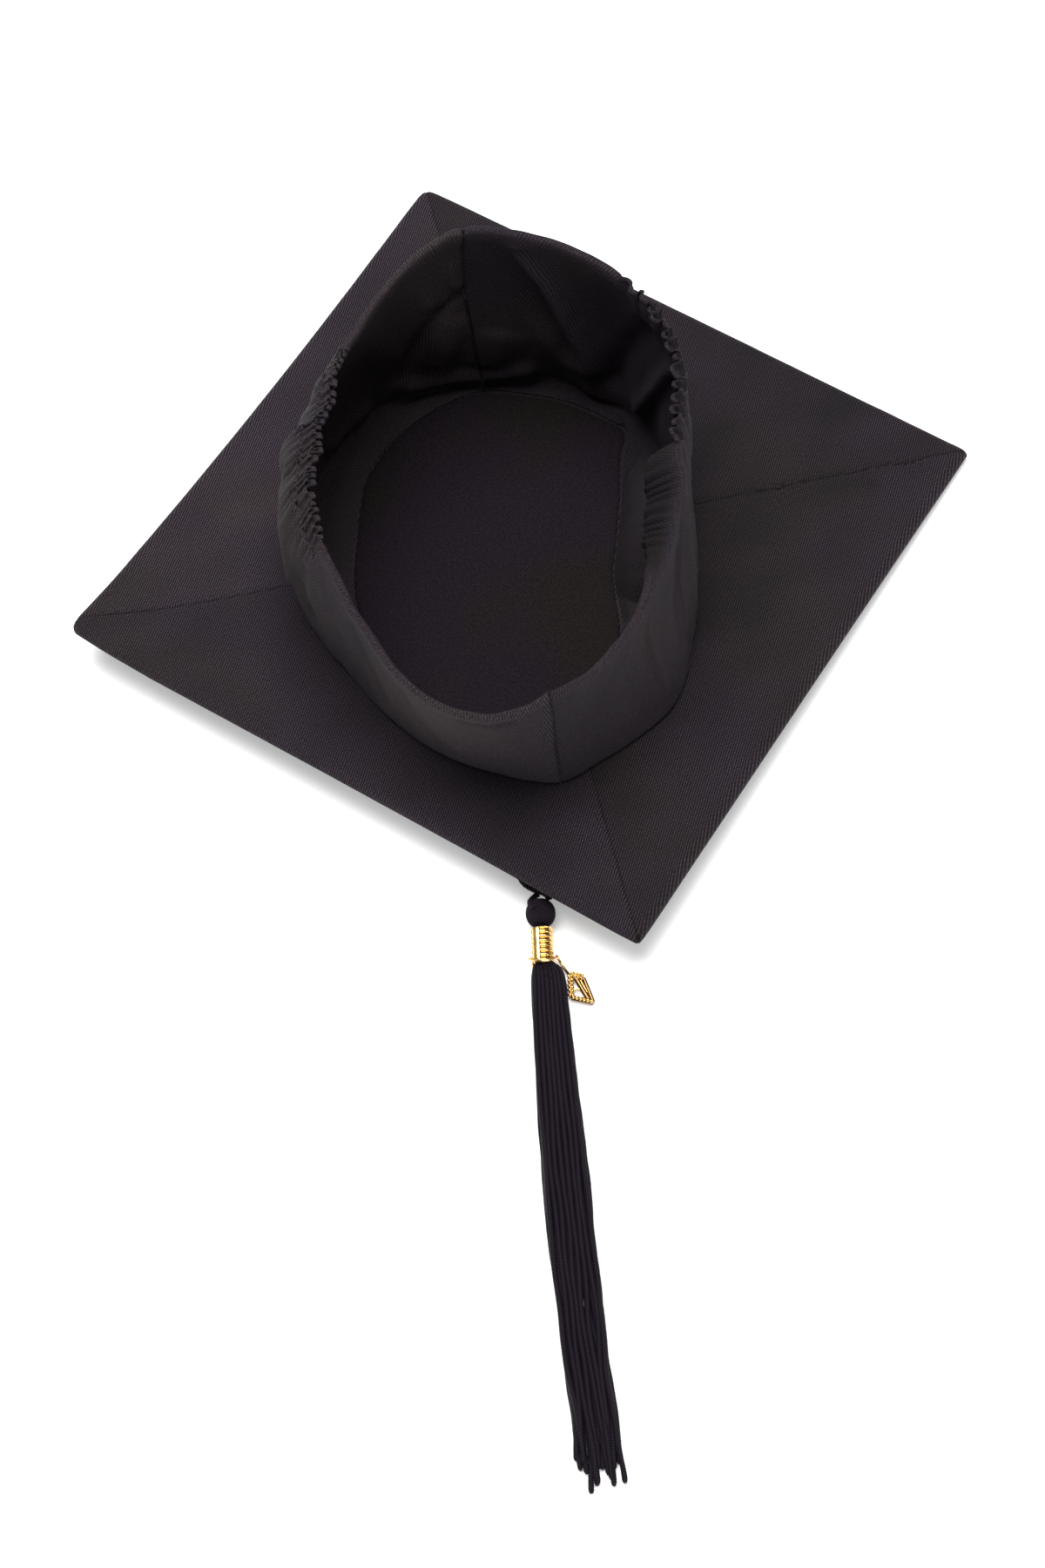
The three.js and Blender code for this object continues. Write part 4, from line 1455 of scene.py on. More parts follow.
@dataclass
class CapShape:
    """The soft cap's form: its sections round the opening, its folds and its creases.

    A section has an angle, the strip's inner radius and its puff, the wall's outer radius at its
    foot, low, high and at its rim, the wall's height and the hem's thickness.
    """

    centre: tuple[float, float] = (-13.0, -14.0)
    gap: float = 0.3
    strip_cloth: float = 1.2
    fold_fade: float = 0.18
    # Millimetres of wall in one degree, here and for the seams
    degree: float = 1.4
    seam_degree: float = 1.45
    shares: tuple[float, ...] = (0.0, 0.35, 0.7, 1.0)
    columns: tuple[str, ...] = ("strip", "puff", "foot", "low", "high", "rim", "height", "hem")
    sections: Table = (
        (-90, 78, 0, 91, 91.5, 91, 90.4, 61.8, 3.2),
        (-80, 73, 0, 87.8, 87, 84.8, 84.9, 59.6, 3.2),
        (-70, 66, 0, 86.3, 84, 80, 78.9, 59.4, 3.2),
        (-55, 58, 0.6, 84.6, 80.4, 74.5, 71.9, 60, 4.6),
        (-40, 50, 2, 78.2, 74.6, 69.4, 67.2, 62, 9),
        (-26, 44.5, 6, 74, 71.4, 67.0, 64.8, 64.6, 12.5),
        (-12, 42.5, 15, 73.6, 71.6, 67.4, 64.2, 69, 13.5),
        (0, 44.5, 19, 74.6, 72.6, 70.2, 65.8, 73, 11),
        (12, 49, 19, 77, 74.5, 77, 72.5, 76, 3),
        (24, 57, 13, 80.5, 77.5, 83, 80, 79, 3),
        (35.5, 69.2, 1.2, 85, 85, 85.5, 84.4, 81.9, 3),
        (40, 79.6, 0.2, 86.6, 86, 86.8, 85.5, 83.2, 3),
        (48, 80.5, 0, 89, 87.5, 91.4, 87.2, 85, 3),
        (60, 81.7, 0, 91, 88, 94.2, 89.5, 87, 3.2),
        (72, 82, 0, 90, 86.8, 95.4, 92.3, 88, 3.4),
        (83, 82.8, 0, 88.8, 86.2, 94.6, 93.4, 88.5, 3.4),
        (94, 79, 0, 88.8, 86.2, 90.0, 87.4, 88, 3.4),
        (104, 75, 0, 89, 85.5, 85.0, 80.4, 86.5, 3.2),
        (114, 71, 0, 87, 84.2, 80, 74.8, 85, 3),
        (126, 66, 0, 84, 83, 79, 70.6, 82.5, 3),
        (138, 59.5, 0, 80.5, 82, 79.5, 68, 81, 3),
        (150, 55.5, 0, 77.5, 81, 80.5, 66.6, 79.5, 3),
        (165, 54, 0, 75, 79, 79.5, 66.6, 78, 3),
        (180, 54, 0, 73, 76.5, 77, 67.8, 75, 3),
        (193, 55, 0, 70.2, 73.5, 74.5, 69.6, 70, 3),
        (205, 57, 0, 69.3, 71.2, 72.2, 71.6, 65.8, 3),
        (222, 61, 0, 72.5, 74.2, 76.8, 79.6, 61.4, 3),
        (240, 68, 0, 79, 81.5, 85.6, 89.4, 58.2, 3),
        (255, 74, 0, 84.5, 87.5, 90.8, 94, 56.6, 3),
        (263, 76.3, 0, 88.3, 90, 91.2, 92.8, 58, 3.2),
    )
    # Angle at the foot and at the rim, half width, depth, and the shares of height it runs between
    folds: Table = (
        (53, 72, 6, -3.6, -0.1, 0.85),
        (94, 90, 5, -3.0, 0.3, 0.75),
        (112, 118, 8, 2.2, 0.2, 0.8),
        (146, 146, 6, -3.4, 0.3, 1.1),
        (166, 163, 7, -2.2, 0.3, 1.1),
        (214, 221, 9, -1.6, 0.1, 1.1),
        (244, 247, 8, 1.2, 0.2, 1.1),
        (-66, -56, 7, -1.6, 0.0, 0.9),
        (-33, -16, 6, 1.8, 0.1, 1.1),
    )
    creases: tuple[Crease, ...] = (
        Crease(
            (
                (81, 82), (75.1, 71.9), (70.9, 59.9), (68.3, 51.5), (65.2, 43.6), (61.7, 36.9),
                (59.3, 30.2), (57, 20)
            ),
            4.6, 4.4
        ),
        Crease(
            ((76, 84), (71.0, 72), (66.0, 61.9), (61.5, 50.2), (56.6, 36), (53.6, 27), (51, 14)), -4.4, 3.8
        ),
        Crease(
            ((105, 6.6), (97.8, 2.9), (92, 2.4), (86.5, 2.3), (80, 2.3), (73, 2.4), (66.8, 3.2), (61, 8)),
            1.8, 1.6
        ),
        Crease(((105, 13), (96, 9.8), (84, 9.4), (74, 9.8), (65, 14)), -3.9, 3.8),
        Crease(((89.9, 53), (93.5, 45.5), (97.3, 37), (100.1, 28.4), (104.5, 12)), 3.6, 3.2),
        Crease(((86.6, 45), (89.5, 33), (92.5, 18)), -2.4, 5.0),
        Crease(((76, 36), (78, 24), (80, 14)), -2.2, 7.5),
        Crease(((92.4, 46.6), (88.2, 50.4), (84.2, 52.8)), 3.4, 1.5),
        Crease(((85.4, 56), (86.8, 60), (87.4, 66), (86.2, 73)), -2.8, 2.3),
        Crease(((99, 70), (95, 60), (93.5, 53)), -1.3, 5.0),
        Crease(((112, 72), (108, 52), (106, 30)), -1.5, 6.0),
        Crease(((25, 64), (30, 45), (35, 27), (40, 9)), -5.0, 3.2),
        Crease(((36, 68), (42, 45), (46, 26), (48, 9)), 4.6, 5.2),
        Crease(((126.3, 5.9), (117.9, 3.2), (111.3, 3.3), (104, 4)), 1.2, 1.5),
        Crease(((131, 13), (121, 10), (110, 10)), -2.6, 3.4),
        Crease(((162, 62), (157, 44), (160, 26), (158, 10)), -2.2, 4.6),
        Crease(((178, 60), (182, 42), (179, 22)), 1.6, 4.0),
        Crease(((141, 68), (136, 50), (139, 30)), -1.8, 4.2),
        Crease(((192, 56), (187, 38), (190, 16)), -1.8, 4.4),
        Crease(((-22, 58), (-36, 38), (-40, 20), (-38, 6)), 1.1, 1.3),
        Crease(((-30, 54), (-42, 36), (-47, 14)), -1.2, 3.4),
        Crease(((-57, 54), (-57.5, 36), (-57, 20), (-56, 8)), 0.9, 1.6),
        Crease(((-72, 42), (-67, 22), (-64, 8)), -0.6, 4.0),
        Crease(((231, 50), (238, 28), (246, 8)), -1.0, 4.8),
        Crease(((211, 54), (217, 34), (226, 12)), -1.2, 3.8),
        Crease(((262, 53), (255, 50), (247, 52)), -0.9, 1.8),
    )
    # The strip's own folds, along lines of (angle, radius), up if above 0
    strip_folds: tuple[Crease, ...] = (
        Crease(((40, 86), (35, 76), (31, 69), (29, 60)), -7.0, 3.4),
        Crease(((43, 82), (41.2, 76)), 2.0, 2.4),
        Crease(((-20, 74), (-26, 62), (-30, 52), (-32, 43)), -6.0, 5.0),
        Crease(((16, 74), (8, 66), (-2, 60), (-10, 56)), 2.6, 3.2),
        Crease(((118, 79), (135, 70), (150, 64)), 0.9, 2.6),
        Crease(((168, 60), (190, 60)), 0.7, 2.6),
    )

    def rows(self, angles: Array) -> dict[str, Array]:
        """The sections' values at some angles.

        Args:
            angles: Angles in degrees.

        Returns:
            One array per column.
        """
        table = np.array(self.sections, float)
        before, after = table[-3:].copy(), table[:3].copy()
        before[:, 0] -= 360
        after[:, 0] += 360
        table = np.concatenate([before, table, after])
        turned = np.where(angles > 262, angles - 360, angles)
        return {c: curve_through(table[:, 0], table[:, i + 1], turned) for i, c in enumerate(self.columns)}

    def radius(self, row: dict[str, Array], angles: Array, height: Array) -> Array:
        """The wall's outer radius.

        Args:
            row: The sections' values at the angles.
            angles: Angles in degrees, of the same shape as height.
            height: Heights in millimetres.

        Returns:
            Radii in millimetres.
        """
        share = height / row["height"]
        xs = np.array(self.shares)
        ys = [row[c] for c in ("foot", "low", "high", "rim")]
        slopes = [(ys[1] - ys[0]) / (xs[1] - xs[0])]
        slopes += [(ys[k + 1] - ys[k - 1]) / (xs[k + 1] - xs[k - 1]) for k in (1, 2)]
        slopes.append((ys[3] - ys[2]) / (xs[3] - xs[2]))
        total = np.zeros(share.shape)
        held = np.clip(share, 0, 1)
        for k in range(3):
            span = xs[k + 1] - xs[k]
            t = (held - xs[k]) / span
            value = eased(t, ys[k], ys[k + 1], slopes[k] * span, slopes[k + 1] * span)
            inside = (held >= xs[k]) & ((held < xs[k + 1]) if k < 2 else (held <= 1))
            total = np.where(inside, value, total)
        for foot, rim, width, depth, start, end in self.folds:
            away = (angles - (foot + (rim - foot) * held)) / width
            rise = smoothstep(start - self.fold_fade, start + self.fold_fade, held)
            fall = 1 - smoothstep(end - self.fold_fade, end + self.fold_fade, held)
            total = total + depth * np.exp(-away * away) * rise * fall
        return total

    def creased(self, angles: Array, height: Array) -> Array:
        """How far the creases and small ripples move the wall outwards.

        Args:
            angles: Angles in degrees.
            height: Heights in millimetres.

        Returns:
            Offsets in millimetres.
        """
        across = angles * self.degree
        total = 0.34 * ripples(across, height * 0.55, 24.0, 31) + 0.16 * ripples(across, height, 9.0, 32)
        for crease in self.creases:
            line = [(a * self.degree, z) for a, z in crease.line]
            away, place = near_line(across, height, line)
            fade = smoothstep(0.0, 0.14, place) * (1 - smoothstep(0.86, 1.0, place))
            total = total + crease.depth * fade * np.exp(-((away / crease.width) ** 2))
        return total

    def folded(self, angles: Array, radii: Array) -> Array:
        """How far the strip's own folds lift it.

        Args:
            angles: Angles in degrees.
            radii: Radii in millimetres.

        Returns:
            Offsets in millimetres.
        """
        turn = np.radians(angles)
        total = np.zeros(radii.shape)
        for fold in self.strip_folds:
            line = [(r * math.cos(math.radians(a)), r * math.sin(math.radians(a))) for a, r in fold.line]
            away, place = near_line(radii * np.cos(turn), radii * np.sin(turn), line)
            fade = smoothstep(-0.2, 0.2, place) * (1 - smoothstep(0.8, 1.2, place))
            total = total + fold.depth * fade * np.exp(-((away / fold.width) ** 2))
        return total

    def world(self, angles: Array, radii: Array, height: Array) -> Array:
        """Places in the hat's frame, in metres, from angles, radii and heights round the cap."""
        turn = np.radians(angles)
        x, y = self.centre[0] + radii * np.cos(turn), self.centre[1] + radii * np.sin(turn)
        return np.stack(np.broadcast_arrays(x, y, height), -1) * MM


@dataclass
class Ruffles:
    """How the cloth waves where elastic gathers it."""

    gather: Gather
    wander: float = 0.7

    def phase(self, angles: Array) -> Array:
        """The ruffles' phase at some angles, uneven from one ruffle to the next."""
        share = (angles - self.gather.start) / (self.gather.end - self.gather.start)
        rng = np.random.default_rng(self.gather.seed)
        total = FULL_TURN * self.gather.ruffles * share
        for _ in range(5):
            pace = rng.uniform(2, 8)
            total = total + self.wander * np.sin(FULL_TURN * share * pace + rng.uniform(0, 6.3))
        return total

    def strength(self, angles: Array) -> Array:
        """How strong the ruffles are, 0 outside the gathered stretch."""
        share = (angles - self.gather.start) / (self.gather.end - self.gather.start)
        rng = np.random.default_rng(self.gather.seed + 1)
        slow = 0.3 * np.sin(share * rng.uniform(30, 40))
        quick = 0.25 * np.sin(share * rng.uniform(60, 80) + 1.0)
        inside = np.clip(np.sin(math.pi * np.clip(share, 0, 1)), 0, 1) ** 0.35
        return (0.95 + slow + quick) * inside


# Direction of the twill's ribs in each half of the cap, in degrees from the way round it
CAP_RIBS = {Side.LEFT: 102.0, Side.RIGHT: 67.0}
GATHERS = {
    Side.LEFT: Gather(Side.LEFT, 127.0, 196.0, 25, 41, 1.3),
    Side.RIGHT: Gather(Side.RIGHT, -4.0, 46.0, 14, 51, 2.1),
}


@dataclass
class CapWall(Maker):
    """One half of the cap: its flat strip, the wall, and the hem that is turned in at the rim."""

    shape: CapShape
    side: Side
    cloth: float = 1.15
    step: float = 0.6
    casing_height: float = 9.0
    casing_lap: float = 1.6
    casing_turn: float = 0.25
    hem_depth: float = 5.0
    hem_groove: float = 0.3
    hem_rise: float = 1.6
    band_slope: float = 0.8
    bend_inset: float = 2.6
    bend_radius: float = 2.4
    wall_foot: float = 3.2
    # Rows of points in the strip, the bend, the wall, the turn over the rim and the hem
    strip_rows: int = 14
    bend_rows: int = 6
    wall_rows: int = 54
    turn_rows: int = 12
    hem_rows: int = 7
    seam_roll: float = 0.75
    seam_roll_width: float = 0.9
    seam_shade: float = 0.75
    # Painted shade along the seams, on the thick turned-in hem band and at the strip's inner edge
    seam_shade_width: float = 0.45
    band_shade: float = 0.58
    tuck_shade: float = 0.75
    mean_radius: float = 80.0
    back_seam: Table = ((0, 80.9), (12, 81.4), (29.5, 82.9), (53.5, 84.8), (65, 84.9), (90, 84.6))
    front_seam: Table = ((0, -89.1), (20, -89.9), (33, -90.6), (50, -91.1), (62, -91.7), (90, -91.7))
    seam_gap: float = 0.13

    def seam(self, table: Table, height: Array) -> Array:
        """A seam's angle at some heights."""
        xs, ys = zip(*table)
        return curve_through(xs, np.array(ys, float), height)

    def bunches(self, angles: Array) -> Array:
        """Small pleats in the turned-in hem beside the right casing, in millimetres."""
        beside = smoothstep(-44, -34, angles) * (1 - smoothstep(-9, -4, angles))
        return 1.1 * beside * np.sin(angles * 1.9 + 1.8 * np.sin(angles * 0.41))

    def profile(self, angles: Array) -> tuple[Array, Array, Array]:
        """The middle line of the cloth at each angle, from the strip's inner edge to the hem's.

        Args:
            angles: One angle per column of cloth.

        Returns:
            Radii, heights and each point's nominal height on the wall, as rows and columns.
        """
        row = {k: v[:, None] for k, v in self.shape.rows(angles).items()}
        gather = GATHERS[self.side]
        past = smoothstep(gather.end - 1.8, gather.end - 0.8, angles)
        inside = (smoothstep(gather.start + 0.8, gather.start + 1.8, angles) * (1 - past))[:, None]
        half = self.cloth / 2
        turn_in = (row["hem"] - self.cloth) / 2 * (1 - inside) + self.casing_turn * inside
        cut_back = inside * (self.casing_height - self.casing_lap)
        top = row["height"] - half - np.minimum(turn_in, self.hem_rise) - cut_back
        flat = self.shape.gap + self.shape.strip_cloth / 2
        foot = row["foot"] - half
        reach = foot - row["strip"]
        share = np.linspace(0, 1, self.strip_rows + 1)[None, :-1]
        strip_radius = row["strip"] + 0.4 + (reach - self.bend_inset - 0.4) * share
        strip_height = flat + row["puff"] * np.sin(math.pi * share**0.75 * 0.94)
        bend = np.radians(np.linspace(0, 80, self.bend_rows))[None, :]
        bend_radius = foot - self.bend_inset + self.bend_radius * np.sin(bend)
        bend_height = flat + self.bend_radius * (1 - np.cos(bend))
        climb = np.linspace(0.03, 1, self.wall_rows)[None, :]
        wall_height = self.wall_foot + (top - self.wall_foot) * climb
        grid = np.broadcast_to(angles[:, None], wall_height.shape)
        wall_radius = self.shape.radius(row, grid, wall_height) - half
        over = np.radians(np.linspace(15, 180, self.turn_rows))[None, :]
        last = wall_radius[:, -1:]
        groove = 1 - self.hem_groove * np.exp(-(((np.degrees(over) - 66) / 13) ** 2)) * (1 - inside)
        over_radius = last - turn_in + turn_in * np.cos(over) * groove
        over_height = top + np.minimum(turn_in, self.hem_rise) * np.sin(over) * groove
        sloped = self.band_slope * smoothstep(2.4, 4.5, turn_in)
        over_height = over_height - sloped * (last - over_radius)
        down = np.linspace(0.12, 1, self.hem_rows)[None, :]
        depth = self.hem_depth * (1 - 0.85 * inside)
        down_height = top - sloped * 2 * turn_in - depth * down
        down_grid = np.broadcast_to(angles[:, None], down_height.shape)
        at_top = self.shape.radius(row, angles[:, None], top * np.ones_like(angles[:, None]))
        slide = self.shape.radius(row, down_grid, down_height) - at_top
        bunched = self.bunches(angles)[:, None] * np.minimum(down * 2, 1)
        over_height = over_height + 0.8 * self.bunches(angles + 0.4)[:, None] * np.sin(over / 2)
        down_radius = last - 2 * turn_in + slide - 0.35 * np.sin(math.pi * down) - 0.25 * down + bunched
        radii = np.concatenate([strip_radius, bend_radius, wall_radius, over_radius, down_radius], 1)
        heights = np.concatenate(
            [strip_height * np.ones_like(strip_radius), bend_height * np.ones_like(bend_radius),
             wall_height, over_height, down_height], 1)
        nominal = np.minimum(heights, top + turn_in)
        return radii, heights, nominal

    def moved(self, radii: Array, heights: Array, angles: Array, nominal: Array) -> tuple[Array, Array]:
        """Adds creases, the pleats below the elastic, and the strip's own folds.

        Args:
            radii: The cloth's radii.
            heights: Its heights.
            angles: Each point's angle.
            nominal: Each point's height on the wall.

        Returns:
            The moved radii and heights.
        """
        on_wall = smoothstep(2.0, 9.0, nominal)
        offset = self.shape.creased(angles, nominal)
        radii = radii + offset * smoothstep(0.9, 5.0, nominal)
        ruffles = Ruffles(GATHERS[self.side])
        rim = self.shape.rows(angles.ravel())["height"].reshape(angles.shape) - self.casing_height
        below = np.maximum(rim - nominal, 0)
        strength = ruffles.strength(angles)
        wave = np.sin(ruffles.phase(angles)) * np.exp(-below / 6.0)
        long_wave = np.sin(ruffles.phase(angles) / 3 + 0.7) * np.exp(-below / 12.0)
        radii = radii + strength * on_wall * (0.95 * wave + 0.55 * long_wave)
        strip = (1 - smoothstep(12, 18, np.arange(radii.shape[1])))[None, :]
        x, y = radii * np.cos(np.radians(angles)), radii * np.sin(np.radians(angles))
        lifted = 0.12 * (1 + ripples(x, y, 17.0, 33)) + self.shape.folded(angles, radii)
        heights = heights + strip * lifted
        heights = np.where(strip > 0, np.maximum(heights, self.shape.gap + self.cloth / 2), heights)
        return radii, heights

    def build(self, gathered: Object) -> Object:
        """Makes the half.

        Args:
            gathered: The elastic casing that is sewn to it; not used.

        Returns:
            The half.
        """
        lowest, highest = (-90.3, 83.0) if self.side is Side.RIGHT else (83.0, 269.7)
        count = round((highest - lowest) / self.step)
        angles = np.linspace(lowest, highest, count + 1)
        radii, heights, nominal = self.profile(angles)
        share = ((angles - lowest) / (highest - lowest))[:, None]
        front, back = self.seam(self.front_seam, nominal), self.seam(self.back_seam, nominal)
        if self.side is Side.RIGHT:
            turned = front + self.seam_gap + (back - front - 2 * self.seam_gap) * share
        else:
            turned = back + self.seam_gap + (front + 360 - back - 2 * self.seam_gap) * share
        spread = np.where(np.abs(turned - angles[:, None]) < 40, turned, angles[:, None])
        radii, heights = self.moved(radii, heights, spread, nominal)
        edge = np.minimum(share, 1 - share) * (highest - lowest) * self.shape.seam_degree
        on_wall = smoothstep(3, 8, nominal)
        radii = radii - self.seam_roll * np.exp(-((edge / self.seam_roll_width) ** 2)) * on_wall
        points = self.shape.world(spread, radii, heights)
        steps = np.linalg.norm(np.diff(points, axis=1), axis=2)
        v = np.concatenate([np.zeros((len(points), 1)), np.cumsum(steps, 1)], 1)
        v = v - v[:, self.strip_rows : self.strip_rows + 1]
        u = np.broadcast_to(np.radians(angles)[:, None] * self.mean_radius * MM, v.shape)
        rim = nominal.max(1, keepdims=True)
        skin = Skin()
        along = np.arange(nominal.shape[1])[None, :]
        rim_row = self.strip_rows + self.bend_rows + self.wall_rows
        over_rim = smoothstep(rim_row, rim_row + 5, along)
        near_rim = smoothstep(rim_row - 14, rim_row - 6, along)
        band = smoothstep(5.2, 8.0, self.shape.rows(angles)["hem"])[:, None] * over_rim
        # Painted highlight and wear just below and over the rim, except on the thick hem band
        pale = 0.4 * smoothstep(2.6, 0.6, rim - nominal) * near_rim * (1 - band)
        strip_edge_shade = smoothstep(-42, -34, angles) * (1 - smoothstep(28, 34, angles))
        # Painted shade along the seams
        pale = pale - self.seam_shade * np.exp(-((edge / self.seam_shade_width) ** 2)) * on_wall
        inmost = 1 - smoothstep(0.5, 3.5, along)
        # Painted shade on the thick turned-in hem band and at the strip's inner edge on the right
        pale = pale - self.band_shade * band - self.tuck_shade * strip_edge_shade[:, None] * inmost
        skin.add(points, strip_turned(u, v, CAP_RIBS[self.side]), painted_light_and_wear=pale)
        obj = skin.build(f"cap_cloth_{self.side.value}")
        thicken(obj, self.cloth, 0.0)
        face_outwards(obj)
        settle(obj, self.place)
        smooth(obj, 70)
        hand_over(obj, [f"cap_wall_{self.side.value}"], self.finishes.cap[self.side])
        return obj


@dataclass
class Casing(Maker):
    """The ruffled casing at one side of the rim, with its elastic inside."""

    shape: CapShape
    gather: Gather
    height: float = 9.0
    steps_per_ruffle: int = 16
    meander: float = 0.7
    rise: float = 0.8
    inset: float = 1.7
    squeeze: float = 0.22
    # Share of the height and half thickness, from the foot of the casing to its frilled top
    stations: Table = (
        (0.0, 0.5), (0.08, 0.85), (0.2, 1.15), (0.38, 1.3), (0.56, 1.2), (0.68, 0.85), (0.76, 0.55),
        (0.84, 0.85), (0.93, 0.9), (1.0, 0.45),
    )

    def build(self) -> Object:
        """Makes the casing.

        Returns:
            The casing.
        """
        ruffles = Ruffles(self.gather)
        count = self.gather.ruffles * self.steps_per_ruffle + 1
        angles = np.linspace(self.gather.start + 0.2, self.gather.end - 0.2, count)
        row = {k: v[:, None] for k, v in self.shape.rows(angles).items()}
        strength, phase = ruffles.strength(angles)[:, None], ruffles.phase(angles)[:, None]
        loop = [(s, h) for s, h in self.stations] + [(s, -h) for s, h in reversed(self.stations)]
        share = np.array([s for s, _ in loop])[None, :]
        half = np.array([h for _, h in loop])[None, :]
        squeezed = 1 + self.squeeze * np.cos(2 * phase) * strength
        lift = self.rise * np.cos(phase + 0.6) * strength * share
        height = row["height"] - self.height * (1 - share) + lift
        grid = np.broadcast_to(angles[:, None], height.shape)
        middle_radius = self.shape.radius(row, grid, np.minimum(height, row["height"])) - self.inset
        wave = np.sin(phase) + 0.22 * np.sin(2 * phase + 0.4)
        radii = middle_radius + self.gather.sway * strength * wave * (0.25 + 0.75 * share) + half * squeezed
        lean = (0.5 * np.cos(phase) - self.meander * np.sin(2 * phase)) * strength * share
        points = self.shape.world(grid + np.degrees(lean / 70), radii, height)
        run = run_along(points[:, 4])
        girths = np.abs(np.diff(share[0], append=share[0, :1])) * self.height + 0.25
        ring = np.concatenate([[0.0], np.cumsum(girths)]) * MM
        u, v = np.meshgrid(run, ring, indexing="ij")
        skin = Skin()
        cloth = strip_turned(u, v, CAP_RIBS[self.gather.side])
        # The frilled top is paler: painted highlight and wear
        skin.add(points, cloth, tube=True, painted_light_and_wear=0.4 * smoothstep(0.6, 1.0, share))
        obj = skin.build(f"elastic_casing_{self.gather.side.value}")
        settle(obj, self.place)
        face_outwards(obj)
        smooth(obj, 80)
        node = f"elastic_gather_{self.gather.side.value}"
        return hand_over(obj, [node], self.finishes.cap[self.gather.side])


@dataclass
class CrownLining(Maker):
    """The smooth oval of lining that lies inside the cap."""

    shape: CapShape
    thickness: float = 1.2
    top: float = 1.75
    rings: int = 46
    turns: int = 180

    def build(self) -> Object:
        """Makes the lining.

        Returns:
            The lining.
        """
        angles = np.linspace(-90, 270, self.turns + 1)
        edge = self.shape.rows(angles)["strip"] - 0.5
        share = (np.linspace(0, 1, self.rings)[None, :]) ** 0.9
        share = np.maximum(share, 0.004)
        radii = edge[:, None] * share
        x = radii * np.cos(np.radians(angles))[:, None]
        y = radii * np.sin(np.radians(angles))[:, None]
        height = self.top + 0.16 * ripples(x, y, 38.0, 61) + 0.05 * ripples(x, y, 11.0, 62)
        height = height - 0.9 * np.clip((share * edge[:, None] - edge[:, None] + 1.2) / 1.2, 0, 1) ** 2
        points = self.shape.world(angles[:, None] * np.ones_like(radii), radii, height)
        skin = Skin()
        skin.add(points, np.stack([x, y], -1) * MM)
        obj = skin.build("crown_lining_cloth")
        open_up(obj)
        bpy.ops.mesh.select_all(action="SELECT")
        bpy.ops.mesh.remove_doubles(threshold=2e-6)
        select_where(obj, Parts.EDGES, lambda e: e.is_boundary and all(
            (Vector(v.co[:2]) - Vector(self.shape.centre) * MM).length < 2 * MM for v in e.verts))
        bpy.ops.mesh.edge_face_add()
        bpy.ops.mesh.select_all(action="SELECT")
        bpy.ops.mesh.normals_make_consistent(inside=False)
        put_down()
        if sum(p.normal.z for p in obj.data.polygons) < 0:
            obj.data.flip_normals()
        thicken(obj, self.thickness)
        settle(obj, self.place)
        smooth(obj)
        hand_over(obj, ["crown_lining"], self.finishes.lining)
        return obj


# Button


@dataclass
class Button(Maker):
    """The cloth covered button in the middle of the top face, with its neck."""

    neck_radius: float = 3.5
    neck_height: float = 2.8
    radius: float = 11.0
    height: float = 3.2
    end: float = 10.8
    edge_round: float = 1.9
    rings: tuple[float, float] = (2.0, 2.4)
    back_ring: float = 0.9
    pleats: int = 16
    pleat_depth: float = 0.12

    def build(self) -> Object:
        """Makes the button.

        Returns:
            The button.
        """
        put_down()
        middle_height = (self.height / 2 - self.end) * MM
        bpy.ops.mesh.primitive_cylinder_add(
            vertices=64, radius=self.radius * MM, depth=self.height * MM, location=(0, 0, middle_height))
        obj = newest("covered_button")
        settle(obj)
        low = -self.end * MM
        open_up(obj)
        select_where(obj, Parts.EDGES, lambda e: all(abs(v.co.z - low) < 1e-7 for v in e.verts))
        bpy.ops.mesh.bevel(offset=self.edge_round * MM, segments=6, affect="EDGES")
        select_where(obj, Parts.FACES, lambda f: f.normal.z < -0.99)
        for ring in self.rings:
            bpy.ops.mesh.inset(thickness=ring * MM)
        select_where(obj, Parts.FACES, lambda f: f.normal.z > 0.99)
        for ring in (self.back_ring, self.radius - self.back_ring - self.neck_radius):
            bpy.ops.mesh.inset(thickness=ring * MM)
        bpy.ops.mesh.extrude_region_move(TRANSFORM_OT_translate={"value": (0, 0, self.neck_height * MM)})
        put_down()
        points = coordinates(obj) / MM
        reach = np.hypot(points[:, 0], points[:, 1])
        turn = np.arctan2(points[:, 1], points[:, 0])
        pleat = self.pleat_depth * np.sin(self.pleats * turn) * smoothstep(6.5, 10.5, reach)
        points[:, :2] *= (1 + pleat / np.maximum(reach, 1))[:, None]
        set_coordinates(obj, points * MM)
        set_weave(obj, BOARD_RIBS)
        settle(obj, self.place)
        smooth(obj, 45)
        return hand_over(obj, ["button"], self.finishes.board)


# Tassel


